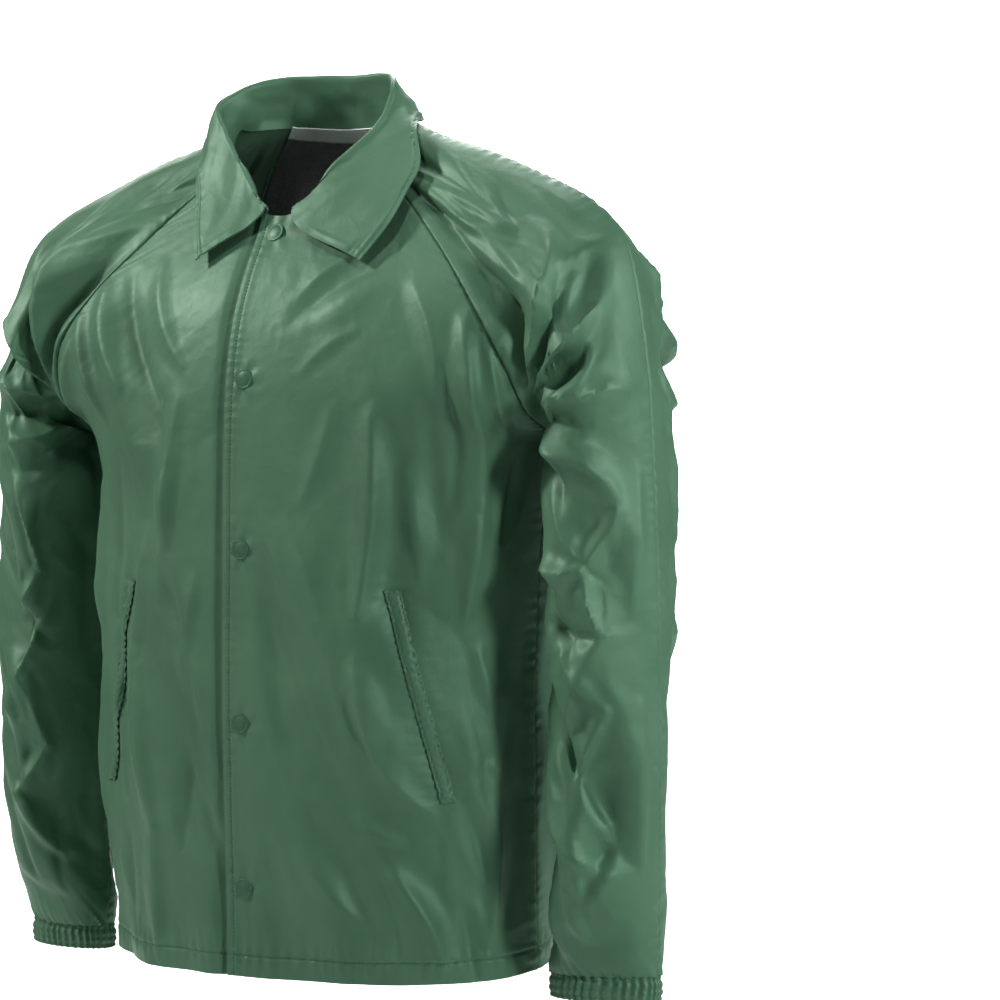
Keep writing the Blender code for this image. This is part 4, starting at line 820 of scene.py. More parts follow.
def hang(panels):
    """Wrinkles: the cloth is cut fuller than its form, is held to it softly, and settles in a simulation.

    Gives each panel the way that its points moved."""
    starts = np.cumsum([0] + [panel.points[..., 0].size for panel in panels])
    places = np.concatenate([panel.points.reshape(-1, 3) for panel in panels])
    own = np.arange(len(places))
    tree = kdtree.KDTree(len(places))
    rims = []
    for panel, start in zip(panels, starts):
        rows, columns = panel.points.shape[:2]
        index = np.arange(rows * columns).reshape(rows, columns) + start
        rims += [index[0], index[-1], index[:, 0], index[:, -1]]
    rims = np.unique(np.concatenate(rims))
    for k in rims:
        tree.insert(places[k], int(k))
    tree.balance()
    for k in rims:
        near = [found[1] for found in tree.find_range(places[k], WELD)]
        own[k] = min(near)
    kept, index_of = np.unique(own, return_inverse=True)
    faces = []
    held = np.zeros(len(places))
    cut = places.copy()
    for panel, start in zip(panels, starts):
        rows, columns = panel.points.shape[:2]
        index = index_of[np.arange(rows * columns).reshape(rows, columns) + start]
        quads = np.stack([index[:-1, :-1], index[:-1, 1:], index[1:, 1:], index[1:, :-1]], axis=-1).reshape(-1, 4)
        faces.append(quads)
        hold = np.full((rows, columns), SOFT_HOLD)
        away = panel.from_edges()
        hold = np.maximum(hold, 1 - eased((away["top"] - 0.006) / 0.045) * (1 - SOFT_HOLD))
        heights = panel.points[..., 2]
        span = slice(int(start), int(start + rows * columns))
        if panel.cut.name.startswith("sleeve"):
            hold = np.maximum(hold, 1 - eased((away["bottom"] - 0.002) / 0.030) * (1 - SOFT_HOLD))
            low = np.maximum(0.0, SLEEVE_FULL_FROM - heights)
            cut[span, 2] -= (SLEEVE_FULL * low).reshape(-1)
        else:
            low = eased((BODY_FULL_FROM - heights) / 0.12)
            cut[span, :2] *= 1 + (BODY_FULL * low).reshape(-1, 1)
            hold = np.maximum(hold, HEM_HOLD * (1 - eased((away["bottom"] - 0.016) / 0.012)))
        if panel.cut.name.startswith("front"):
            hold = np.maximum(hold, 1 - eased((panel.lengths - 0.018) / 0.034) * (1 - SOFT_HOLD))
        held[span] = hold.reshape(-1)
    mesh = bpy.data.meshes.new("cloth_form")
    mesh.from_pydata(places[kept].tolist(), [], np.concatenate(faces).tolist())
    cloth = bpy.data.objects.new("cloth_form", mesh)
    bpy.context.scene.collection.objects.link(cloth)
    cloth.shape_key_add(name="form")
    full = cloth.shape_key_add(name="cut")
    full.data.foreach_set("co", cut[kept].reshape(-1))
    group = cloth.vertex_groups.new(name="held")
    weights = np.round(np.maximum.reduceat(held[np.argsort(index_of, kind="stable")],
                                           np.searchsorted(np.sort(index_of), np.arange(len(kept)))), 3)
    for value in np.unique(weights):
        group.add(np.flatnonzero(weights == value).tolist(), float(value), "REPLACE")
    modifier = cloth.modifiers.new("hang", "CLOTH")
    settings = modifier.settings
    settings.quality = 5
    settings.mass = 0.15
    settings.tension_stiffness = settings.compression_stiffness = 40
    settings.shear_stiffness = 12
    settings.bending_stiffness = BENDING
    settings.tension_damping = settings.compression_damping = settings.shear_damping = 8
    settings.bending_damping = 0.5
    settings.air_damping = 2
    settings.vertex_group_mass = "held"
    settings.pin_stiffness = PIN
    settings.rest_shape_key = full
    settings.effector_weights.gravity = 0.3
    modifier.collision_settings.use_collision = False
    scene = bpy.context.scene
    for step in range(1, HANG_STEPS + 1):
        scene.frame_set(step)
    ready = cloth.evaluated_get(bpy.context.evaluated_depsgraph_get()).data
    moved = np.empty(len(ready.vertices) * 3)
    ready.vertices.foreach_get("co", moved)
    moved = moved.reshape(-1, 3)[index_of] - places
    bpy.data.objects.remove(cloth, do_unlink=True)
    bpy.data.meshes.remove(mesh)
    scene.frame_set(1)
    far = np.linalg.norm(moved, axis=1, keepdims=True)
    moved = moved * (MOVE_CAP * np.tanh(far / MOVE_CAP) / np.maximum(far, 1e-9))
    moved *= 1 - CHEST_CALM * eased((places[:, 2:] - CHEST_FROM) / 0.12) * (
        1 - eased((np.abs(places[:, :1]) - 0.22) / 0.08))
    radial = unit(places[:, :2] - np.sign(places[:, :1]) * [CUFF_CENTRE[0], 0] - [0, CUFF_CENTRE[1]])
    outwards = np.maximum((moved[:, :2] * radial).sum(axis=1, keepdims=True), 0)
    moved[:, :2] -= OUTLINE_KEPT * outwards * radial * eased((np.abs(places[:, :1]) - 0.25) / 0.05)
    print("cloth moved, mean and most, mm:", round(float(far.mean()) * 1000, 2), round(float(far.max()) * 1000, 2))
    return [moved[start:end].reshape(panel.points.shape)
            for panel, start, end in zip(panels, starts, starts[1:])]


def spread(panel, moves, fine):
    """The coarse grid's moves at the fine grid's places."""
    rows, columns = panel.points.shape[:2]
    across = spline(panel.across, moves.transpose(1, 0, 2).reshape(columns, -1), fine.across)
    across = across.reshape(len(fine.across), rows, 3).transpose(1, 0, 2)
    return spline(panel.up, across.reshape(rows, -1), fine.up).reshape(fine.points.shape)


def wander(way, cell, seed):
    """Seeded waves along a line, between -1 and 1."""
    return lattice(way, np.zeros(way.shape), cell, 1.0, seed)


def seam_relief(away, way, seed, row):
    """Heights beside a line of sewing: a narrow groove on it and gathers across it that die out to each side."""
    phase = way / row.period + 0.9 * wander(way, 0.030, seed)
    gather = np.sin(2 * math.pi * phase) * (0.65 + 0.35 * wander(way, 0.017, seed + 1))
    beside = 1 - np.exp(-((away / (1.5 * GROOVE)) ** 2))
    gathers = row.rise * gather * beside * np.exp(-np.abs(away) / row.reach)
    return gathers - row.depth * np.exp(-((away / GROOVE) ** 2))


def finish_panel(cut, number, coarse, moves):
    """The panel that shows: the form and creases on a fine grid, the settled moves, and the sewing's relief."""
    panel = cut_grid(cut, fine_levels(cut.name), fine_shares(cut.name))
    moves = spread(coarse, moves, panel)
    panel.points = panel.points + moves
    panel.refresh()
    short = eased(panel.from_seams(("first", "last")) / CREASE_FADE)
    if cut.name.startswith("front"):
        short = short * eased((panel.lengths - STRIP_END / 2) / STRIP_END)
    panel.crease(cut.creases, short, panel.form_heights)
    if cut.name in FANS:
        panel.fan(*FANS[cut.name], short)
    panel.edge_ways = panel.from_edges()
    away, (across, up) = panel.edge_ways, panel.ways()
    seed = 100 * (number + 1)
    relief = np.zeros(across.shape)
    for edge in ("first", "last"):
        if edge in cut.sewn:
            relief += seam_relief(away[edge], up, seed, SEAM_RELIEF)
        seed += 7
    if "top" in cut.sewn:
        relief += seam_relief(away["top"], across, seed, TOP_SEAM_RELIEF)
    if cut.name.startswith("sleeve"):
        relief += sleeve_end(panel, away["bottom"], across, seed)
    else:
        hem = away["bottom"] - HEM_STITCH
        relief += seam_relief(hem, across, seed, HEM_RELIEF)
        relief += 0.0008 * (1 - eased(away["bottom"] / HEM_STITCH - 0.85))
    if cut.name.startswith("front"):
        relief += mouth_relief(panel)
    if cut.name == "front_left":
        strip = away["first"] - PLACKET_STITCH
        relief += seam_relief(strip, up, seed + 3, PLACKET_RELIEF)
        relief += LAP_RISE * (1 - eased((away["first"] - 0.003) / 0.014))
        for height in SNAP_HEIGHTS:
            reach = np.hypot(panel.lengths, panel.points[..., 2] - height)
            turn = np.arctan2(panel.points[..., 2] - height, panel.lengths)
            pull = 0.0006 * np.cos(5 * turn + height * 90) * np.exp(-((reach - 0.012) / 0.007) ** 2)
            relief += np.where(panel.lengths > -0.010, pull, 0)
    crushed = CRUSHED_SLEEVE if cut.name.startswith("sleeve") else CRUSHED_BODY
    near = eased(panel.from_seams(("first", "last")) / 0.020)
    if cut.name.startswith("front"):
        near = near * eased((panel.lengths - 0.012) / 0.030)
    if cut.name.startswith("sleeve"):
        near = near * (0.2 + 0.8 * eased((panel.lengths - 0.015) / 0.050))
        near = near * eased((panel.from_seams(("top", "bottom")) - 0.004) / 0.030)
    if not cut.name.startswith("sleeve"):
        near = near * (1 - CHEST_CALM * eased((panel.form_heights - CHEST_FROM) / 0.12))
    for number_of, layer in enumerate(crushed):
        shape = facets(across, up, layer.across, layer.up, seed + 20 + 5 * number_of)
        relief += layer.depth * (shape - (0.6 if cut.name.startswith("sleeve") else 0)) * near
    small = lattice(across, up, 0.012, 0.015, seed + 12)
    relief += 0.0003 * (0.5 - np.abs(small)) * eased(panel.from_seams(("first", "last")) / 0.006)
    panel.points = panel.points + panel.outwards * relief[..., None]
    if cut.name == "front_right":
        under = 1 - eased((panel.lengths - DIP_KEPT) / 0.0135)
        panel.points = panel.points - panel.normals * (under * UNDER_LAP)[..., None]
    panel.refresh()
    return panel


def mouth_relief(panel):
    """Hollow that the pocket's sewing draws into the front all round the welt, with short gathers."""
    heights = panel.form_heights
    t = (heights - WELT_BOTTOM) / (WELT_TOP - WELT_BOTTOM)
    low = WELT_BOTTOM_EDGES[0] + (WELT_TOP_EDGES[0] - WELT_BOTTOM_EDGES[0]) * t
    high = WELT_BOTTOM_EDGES[1] + (WELT_TOP_EDGES[1] - WELT_BOTTOM_EDGES[1]) * t
    aside = np.maximum(low - panel.lengths, panel.lengths - high)
    beyond = np.maximum(WELT_BOTTOM - heights, heights - WELT_TOP)
    away = np.hypot(np.maximum(aside, 0), np.maximum(beyond, 0))
    gather = np.sin(2 * math.pi * (heights / 0.0095 + 0.6 * wander(heights, 0.02, 41)))
    outside = 1 - np.exp(-((away / 0.002) ** 2))
    return (0.0012 * gather * outside - 0.0012) * np.exp(-away / 0.006)


def sleeve_end(panel, above, across, seed):
    """Gathers that the elastic draws in above the cuff."""
    phase = across / 0.0078 + 0.7 * wander(across, 0.016, seed + 5)
    deep = 0.6 + 0.4 * wander(across, 0.011, seed + 6)
    reach = SLEEVE_GATHER_REACH * (0.75 + 0.35 * wander(across, 0.013, seed + 8))
    return SLEEVE_GATHER * deep * (0.25 + np.sin(2 * math.pi * phase)) * np.exp(-above / reach)


def deselect():
    if bpy.context.object and bpy.context.object.mode != "OBJECT":
        bpy.ops.object.mode_set(mode="OBJECT")
    bpy.ops.object.select_all(action="DESELECT")


def grid_sheet(name, points, across, up, wall, material, closed=False):
    """A primitive grid shaped onto the points, given its wall and a cloth map in metres."""
    rows, columns = points.shape[:2]
    deselect()
    bpy.ops.mesh.primitive_grid_add(x_subdivisions=columns - 1, y_subdivisions=rows - 1, size=1)
    piece = bpy.context.object
    piece.name = piece.data.name = name
    mesh = piece.data
    mesh.vertices.foreach_set("co", points.reshape(-1))
    spots = np.stack([across, up], axis=-1).reshape(-1, 2)
    corners = np.empty(len(mesh.loops), dtype=int)
    mesh.loops.foreach_get("vertex_index", corners)
    mesh.uv_layers[0].name = "cloth"
    mesh.uv_layers[0].data.foreach_set("uv", spots[corners].reshape(-1))
    mesh.update()
    if closed:
        bpy.ops.object.mode_set(mode="EDIT")
        bpy.ops.mesh.select_all(action="SELECT")
        bpy.ops.mesh.remove_doubles(threshold=1e-5)
        bpy.ops.object.mode_set(mode="OBJECT")
    solid = piece.modifiers.new("wall", "SOLIDIFY")
    solid.thickness = wall
    solid.offset = -1
    solid.use_even_offset = False
    bpy.ops.object.modifier_apply(modifier="wall")
    mesh.materials.clear()
    mesh.materials.append(material)
    bpy.ops.object.shade_smooth_by_angle(angle=math.radians(60))
    return piece


def neck_line(shares):
    """Points of the neck seam at these shares from the centre back (0) to the centre front (1, or -1)."""
    half = np.concatenate([body_row(1, 2)[:-1], sleeve_row(1, -1)[::-1][:-1], sleeve_row(-1, -1)[:-1],
                           body_row(-1, 2)[::-1]])
    return lean(at_lengths(half, shares * lengths_along(half)[-1]))


def bisected(points, axis):
    """Direction of the grid at each point, halfway between the steps on its two sides."""
    steps = unit(np.diff(points, axis=axis))
    first, last = np.take(steps, [0], axis), np.take(steps, [-1], axis)
    return unit(np.concatenate([first, steps], axis) + np.concatenate([steps, last], axis))


def ends_close(count, rim, reach):
    """Shares from 0 to 1 with close places at both ends, set by a table of lengths."""
    first = np.array(rim) / reach
    return np.concatenate([first[:-1], np.linspace(first[-1], 1 - first[-1], count), (1 - first)[::-1][1:]])


def collar_grid():
    """Middle of the collar's wall: stand, fold and fall in one strip that runs round the neck."""
    table = np.array(COLLAR)
    low, high = COLLAR[0].along, COLLAR[-1].along
    along = low + (high - low) * ends_close(230, COLLAR_RIM, 0.72)
    places = spline(table[:, 0], table[:, 1:], along)
    fold, edge = places[:, :3], places[:, 3:]
    flat = fold * [1, 1, 0]
    way = bisected(flat[:, None, :], 0)[:, 0]
    outward = unit(np.stack([-way[:, 1], way[:, 0], np.zeros(len(way))], axis=1))
    neck = neck_line(along)
    up = np.array([0.0, 0.0, 1.0])
    centre = fold - COLLAR_TURN * up
    base = neck + STAND_OFF * unit(centre - neck) - outward * COLLAR_WALL / 2
    inside, outside = centre - COLLAR_TURN * outward, centre + COLLAR_TURN * outward
    reach = np.linalg.norm(edge - outside, axis=1)[:, None]
    start = outside + reach * (FALL_SPREAD * outward - FALL_DROP * up)
    end = edge + reach * (EDGE_BACK * unit(outside - edge) + EDGE_SPREAD * outward)
    columns = [base + (inside - base) * t for t in np.linspace(-0.11, 1, 13)]
    for angle in np.linspace(0, math.pi, 8)[1:]:
        columns.append(centre + COLLAR_TURN * (math.sin(angle) * up - math.cos(angle) * outward))
    fall = np.concatenate([np.linspace(0, 0.85, 20)[1:], np.linspace(0.85, 1, 12)[1:]])
    for t in fall:
        near_fold = (1 - t) ** 3 * outside + 3 * t * (1 - t) ** 2 * start
        columns.append(near_fold + 3 * t**2 * (1 - t) * end + t**3 * edge)
    return np.stack(columns, axis=1)


def collar(material):
    middle = collar_grid()
    normals = unit(np.cross(bisected(middle, 1), bisected(middle, 0)))
    up, along = ways_over(middle)
    from_edge, from_ends = up[:, -1:] - up, np.minimum(along, along[-1:] - along)
    falls = eased((up - 0.036) / 0.02)
    relief = seam_relief(from_edge - COLLAR_STITCH, along, 901, COLLAR_RELIEF) * falls
    relief += seam_relief(from_ends - COLLAR_STITCH, up, 905, COLLAR_RELIEF) * falls
    relief += 0.0016 * facets(along, up, 0.034, 0.028, 908) * eased(from_edge / 0.02)
    stand = 1 - eased((up - 0.022) / 0.014)
    relief += 0.0024 * lattice(along, up, 0.018, 0.060, 911) * stand * eased(up / 0.008)
    relief += 0.0007 * (0.5 - np.abs(lattice(along, up, 0.020, 0.016, 913))) * eased(from_edge / 0.012)
    middle = middle + normals * relief[..., None]
    outer = middle + unit(np.cross(bisected(middle, 1), bisected(middle, 0))) * COLLAR_WALL / 2
    piece = grid_sheet("collar_cloth", outer.transpose(1, 0, 2)[:, ::-1], along.T[:, ::-1], up.T[:, ::-1],
                       COLLAR_WALL, material)
    line = middle + normals * COLLAR_WALL / 2
    return piece, line, from_edge, from_ends, falls


def lining(back, material):
    """Loose brushed lining inside the back, hung from the neck seam and stopped short of the hem."""
    middle = back.form_heights.shape[1] // 2
    rows = np.flatnonzero(back.form_heights[:, middle] > LINING_HEM)[::-2][::-1]
    columns = np.arange(len(RIM_PLACES), back.lengths.shape[1] - len(RIM_PLACES), 2)
    inside = np.ix_(rows, columns)
    heights = back.form_heights[inside]
    loose = LINING_LOOSE * eased((LINING_LOOSE_FROM - heights) / LINING_LOOSE_OVER)
    waves = lattice(back.lengths[inside], heights, 0.060, 0.200, 71)
    depth = WALL + 0.0012 + loose * (0.6 + 0.3 * waves)
    points = back.points[inside] - back.outwards[inside] * depth[..., None]
    across, up = (way[inside] for way in back.ways())
    # The map's up is measured down from the neck seam; the lining's band of painted light is laid along it.
    return grid_sheet("lining_cloth", points, across, up[-1:] - up, LINING_WALL, material)


def welt(name, panel, material):
    """Puffed strip over the pocket's slanted mouth, on the front's own points."""
    rows, across_count = 96, 13
    points, normals = [], []
    for t in np.linspace(0, 1, rows):
        height = WELT_BOTTOM + (WELT_TOP - WELT_BOTTOM) * t
        ends = [bottom + (top - bottom) * t for bottom, top in zip(WELT_BOTTOM_EDGES, WELT_TOP_EDGES)]
        found = [panel.at(length, height) for length in np.linspace(ends[0], ends[1], across_count)]
        points.append([point for point, normal in found])
        normals.append([normal for point, normal in found])
    points, normals = np.array(points), np.array(normals)
    if panel.cut.side < 0:
        points, normals = points[:, ::-1], normals[:, ::-1]
    s = np.linspace(0, 1, across_count)[None, :]
    t = np.linspace(0, 1, rows)[:, None]
    across = s * WELT_WIDTH + 0 * t
    up = t * WELT_LENGTH + 0 * s
    edge = np.minimum(np.minimum(across, WELT_WIDTH - across), np.minimum(up, WELT_LENGTH - up))
    puff = 0.0018 * (1 - np.exp(-edge / 0.0020))
    gather = np.sin(2 * math.pi * (up / 0.0072 + 0.5 * wander(up + s, 0.02, 31)))
    relief = 0.0018 + puff + 0.0009 * gather * (0.35 + 0.65 * np.exp(-edge / 0.0025))
    relief -= 0.0010 * np.exp(-(((edge - 0.0022) / 0.0008) ** 2))
    lifted = points + normals * relief[..., None]
    return grid_sheet(name, lifted, across, up, 0.0010, material), points + normals * 0.0013, across, up


def cuff(name, side, material):
    """Elastic cuff: a turned oval ring with fine uneven gathers all round and rows of sewing."""
    count, rings = 433, 19
    angles = np.linspace(0, 2 * math.pi, count)
    t = np.linspace(0, 1, rings)[:, None]
    phase = CUFF_GATHERS * angles * 1.5 + 1.2 * np.sin(3 * angles) + 0.8 * np.sin(7 * angles + side)
    uneven = 0.75 + 0.25 * np.sin(5 * angles + 2 * side) * np.sin(11 * angles)
    sewn = sum(np.exp(-(((t - place) / width) ** 2)) for place, width in CUFF_SEWN)
    wave = 0.0017 * uneven * (0.35 * np.sin(phase) + 0.65 * np.sin(phase + 0.9 * np.sin(6 * t)))
    bulge = 0.0016 * np.sin(math.pi * t) - 0.0008 * sewn + 0.0006 * (1 - t)
    wide = bulge + wave * (1 - 0.35 * sewn)
    height = CUFF_BOTTOM + (CUFF_TOP - CUFF_BOTTOM) * t + 0.0006 * np.sin(phase) * (np.abs(2 * t - 1) ** 3)
    u = (CUFF_HALF_WIDTH + wide) * np.cos(angles)
    v = (CUFF_HALF_DEPTH + wide) * np.sin(angles)
    x = side * (CUFF_CENTRE[0] + u * math.cos(CUFF_TURN) - v * math.sin(CUFF_TURN))
    y = CUFF_CENTRE[1] + u * math.sin(CUFF_TURN) + v * math.cos(CUFF_TURN)
    points = np.stack([x, y, height + 0 * u], axis=-1)
    points[:, -1] = points[:, 0]
    across = angles[None, :] * (CUFF_HALF_WIDTH + CUFF_HALF_DEPTH) / 2 + 0 * t
    up = t * (CUFF_TOP - CUFF_BOTTOM) + 0 * angles
    if side < 0:
        points, across = points[:, ::-1], across[:, ::-1]
    return grid_sheet(name, points, across, up, CUFF_WALL, material, closed=True)


def snap_cap(material):
    """Domed snap cap with a rolled rim, made once at the origin facing up."""
    deselect()
    bpy.ops.mesh.primitive_cylinder_add(vertices=48, radius=SNAP_RADIUS, depth=0.0018, location=(0, 0, 0.0009))
    cap = bpy.context.object
    bpy.ops.object.mode_set(mode="EDIT")
    bpy.ops.mesh.select_all(action="DESELECT")
    shape = bmesh.from_edit_mesh(cap.data)
    for face in shape.faces:
        face.select_set(face.normal.z > 0.9)
    bmesh.update_edit_mesh(cap.data)
    bpy.ops.mesh.inset(thickness=0.0011, depth=0.0)
    bpy.ops.mesh.inset(thickness=0.0004, depth=-0.0003)
    bpy.ops.mesh.inset(thickness=0.0016, depth=0.0005)
    bpy.ops.mesh.inset(thickness=0.0022, depth=0.0004)
    bpy.ops.mesh.inset(thickness=0.0020, depth=0.0001)
    bpy.ops.mesh.poke()
    bpy.ops.object.mode_set(mode="OBJECT")
    rim = cap.modifiers.new("rim", "BEVEL")
    rim.width, rim.segments, rim.limit_method, rim.angle_limit = 0.0006, 3, "ANGLE", math.radians(50)
    bpy.ops.object.modifier_apply(modifier="rim")
    cap.data.materials.append(material)
    bpy.ops.object.shade_smooth_by_angle(angle=math.radians(40))
    return cap


def copied(source, name, turn):
    piece = bpy.data.objects.new(name, source.data.copy())
    bpy.context.scene.collection.objects.link(piece)
    piece.data.name = name
    piece.data.transform(turn)
    return piece


def one_stitch():
    """A single stitch of thread along X, dipping into the cloth at its ends."""
    deselect()
    bpy.ops.mesh.primitive_cylinder_add(vertices=6, radius=THREAD / 2, depth=STITCH, rotation=(0, math.pi / 2, 0),
                                        end_fill_type="NOTHING")
    stitch = bpy.context.object
    bpy.ops.object.transform_apply(location=True, rotation=True, scale=True)
    bpy.ops.object.mode_set(mode="EDIT")
    bpy.ops.mesh.select_all(action="SELECT")
    bpy.ops.mesh.subdivide(number_cuts=2)
    bpy.ops.object.mode_set(mode="OBJECT")
    points = np.array([tuple(vertex.co) for vertex in stitch.data.vertices])
    points[:, 2] -= THREAD * (np.abs(points[:, 0]) / (STITCH / 2)) ** 3
    faces = [list(face.vertices) for face in stitch.data.polygons]
    bpy.data.objects.remove(stitch, do_unlink=True)
    return points, faces


def sew(name, lines, stitch, material):
    """Stitches along lines of points with outward directions, all in one mesh."""
    shape, faces = stitch
    points, polygons = [], []
    count = 0
    for line, outward in lines:
        way = lengths_along(line)
        for place in np.arange(STITCH_STEP, way[-1] - STITCH_STEP, STITCH_STEP):
            here = np.array([np.interp(place, way, line[:, k]) for k in range(3)])
            ahead = np.array([np.interp(place + 0.001, way, line[:, k]) for k in range(3)])
            lift = unit(np.array([np.interp(place, way, outward[:, k]) for k in range(3)]))
            along = unit(ahead - here)
            aside = unit(np.cross(lift, along))
            frame_of = np.stack([along, aside, np.cross(along, aside)])
            points.append(here + lift * THREAD * 0.3 + shape @ frame_of)
            polygons += [[k + count for k in face] for face in faces]
            count += len(shape)
    mesh = bpy.data.meshes.new(name)
    mesh.from_pydata(np.concatenate(points).tolist(), [], polygons)
    mesh.materials.append(material)
    mesh.shade_smooth()
    piece = bpy.data.objects.new(name, mesh)
    bpy.context.scene.collection.objects.link(piece)
    return piece


def line_on(panel, edge, distance):
    """Points and outward directions on a panel at this distance from one of its edges."""
    away = panel.edge_ways[edge]
    points, normals = panel.points, panel.normals
    if edge in ("bottom", "top"):
        away, points, normals = away.T, points.transpose(1, 0, 2), normals.transpose(1, 0, 2)
    line, outward = [], []
    for reach, row, facing in zip(away, points, normals):
        order = np.argsort(reach)
        line.append([np.interp(distance, reach[order], row[order, k]) for k in range(3)])
        outward.append([np.interp(distance, reach[order], facing[order, k]) for k in range(3)])
    return np.array(line), unit(np.array(outward))


def collar_lines(line, from_edge, from_ends):
    """The collar's row of sewing: up one front end, along the outer edge and down the other."""
    normals = unit(np.cross(bisected(line, 1), bisected(line, 0)))
    spots, facing = [], []
    inner = np.flatnonzero(from_ends[:, -1] >= COLLAR_STITCH)
    for i in inner:
        reach, row = from_edge[i][::-1], line[i][::-1]
        spots.append([np.interp(COLLAR_STITCH, reach, row[:, k]) for k in range(3)])
        facing.append([np.interp(COLLAR_STITCH, reach, normals[i][::-1][:, k]) for k in range(3)])
    lines = [(np.array(spots), unit(np.array(facing)))]
    half = len(line) // 2
    for part in (slice(0, half), slice(half, None)):
        spots, facing = [], []
        for j in range(line.shape[1]):
            if from_edge[half, j] < COLLAR_STITCH or from_edge[half, j] > COLLAR_END_SEWN:
                continue
            reach, column, faces = from_ends[part, j], line[part, j], normals[part, j]
            order = np.argsort(reach)
            spots.append([np.interp(COLLAR_STITCH, reach[order], column[order, k]) for k in range(3)])
            facing.append([np.interp(COLLAR_STITCH, reach[order], faces[order, k]) for k in range(3)])
        lines.append((np.array(spots), unit(np.array(facing))))
    return lines


def node_link(tree, *pairs):
    for source, target in pairs:
        tree.links.new(source, target)


def new_material(name):
    material = bpy.data.materials.new(name)
    material.use_nodes = True
    return material, material.node_tree, material.node_tree.nodes["Principled BSDF"]


def new_noise(tree, scale, detail):
    node = tree.nodes.new("ShaderNodeTexNoise")
    node.inputs["Scale"].default_value = scale
    node.inputs["Detail"].default_value = detail
    return node


def new_bump(tree, strength, distance):
    node = tree.nodes.new("ShaderNodeBump")
    node.inputs["Strength"].default_value = strength
    node.inputs["Distance"].default_value = distance
    return node


def two_tones(tree, *stops):
    """Colour ramp between two colours, each with its place on the ramp."""
    ramp = tree.nodes.new("ShaderNodeValToRGB")
    for element, (place, colour) in zip(ramp.color_ramp.elements, stops):
        element.position, element.color = place, (*colour, 1.0)
    return ramp


def nylon(name, dark, light, roughness):
    """Crisp woven nylon with a soft shine: two close greens, crushed creases and the weave in its bump."""
    material, tree, shader = new_material(name)
    shader.inputs["Specular IOR Level"].default_value = 0.45
    shader.inputs["Specular Tint"].default_value = (0.62, 1.0, 0.74, 1.0)
    shader.inputs["Sheen Weight"].default_value = 0.06
    shader.inputs["Sheen Roughness"].default_value = 0.4
    shader.inputs["Sheen Tint"].default_value = (0.55, 0.85, 0.62, 1.0)
    places = tree.nodes.new("ShaderNodeTexCoord").outputs["Object"]
    cloth = tree.nodes.new("ShaderNodeUVMap")
    cloth.uv_map = "cloth"

    broad = new_noise(tree, 9.0, 4.0)
    tones = two_tones(tree, (0.36, dark), (0.66, light))
    node_link(tree, (places, broad.inputs["Vector"]), (broad.outputs["Fac"], tones.inputs["Fac"]),
              (tones.outputs["Color"], shader.inputs["Base Color"]))

    gloss = new_noise(tree, 38.0, 5.0)
    spread_of = tree.nodes.new("ShaderNodeMapRange")
    spread_of.inputs["To Min"].default_value = roughness - 0.07
    spread_of.inputs["To Max"].default_value = roughness + 0.09
    node_link(tree, (places, gloss.inputs["Vector"]), (gloss.outputs["Fac"], spread_of.inputs["Value"]),
              (spread_of.outputs["Result"], shader.inputs["Roughness"]))

    warp = new_noise(tree, 55.0, 3.0)
    mixed = tree.nodes.new("ShaderNodeMix")
    mixed.data_type = "VECTOR"
    mixed.inputs["Factor"].default_value = 0.025
    crush = tree.nodes.new("ShaderNodeTexVoronoi")
    crush.feature = "F1"
    crush.inputs["Scale"].default_value = 62.0
    crushed = new_bump(tree, 0.14, 0.0022)
    node_link(tree, (places, warp.inputs["Vector"]), (places, mixed.inputs[4]),
              (warp.outputs["Color"], mixed.inputs[5]), (mixed.outputs[1], crush.inputs["Vector"]),
              (crush.outputs["Distance"], crushed.inputs["Height"]))

    fine = new_noise(tree, 240.0, 5.0)
    fine.inputs["Roughness"].default_value = 0.6
    creased = new_bump(tree, 0.16, 0.0008)
    node_link(tree, (places, fine.inputs["Vector"]), (fine.outputs["Fac"], creased.inputs["Height"]),
              (crushed.outputs["Normal"], creased.inputs["Normal"]))

    threads = []
    for direction in ("X", "Y"):
        thread = tree.nodes.new("ShaderNodeTexWave")
        thread.bands_direction = direction
        thread.inputs["Scale"].default_value = 520.0
        node_link(tree, (cloth.outputs["UV"], thread.inputs["Vector"]))
        threads.append(thread.outputs["Fac"])
    both = tree.nodes.new("ShaderNodeMath")
    both.operation = "ADD"
    weave = new_bump(tree, 0.06, 0.0002)
    node_link(tree, (threads[0], both.inputs[0]), (threads[1], both.inputs[1]),
              (both.outputs["Value"], weave.inputs["Height"]), (creased.outputs["Normal"], weave.inputs["Normal"]),
              (weave.outputs["Normal"], shader.inputs["Normal"]))
    return material


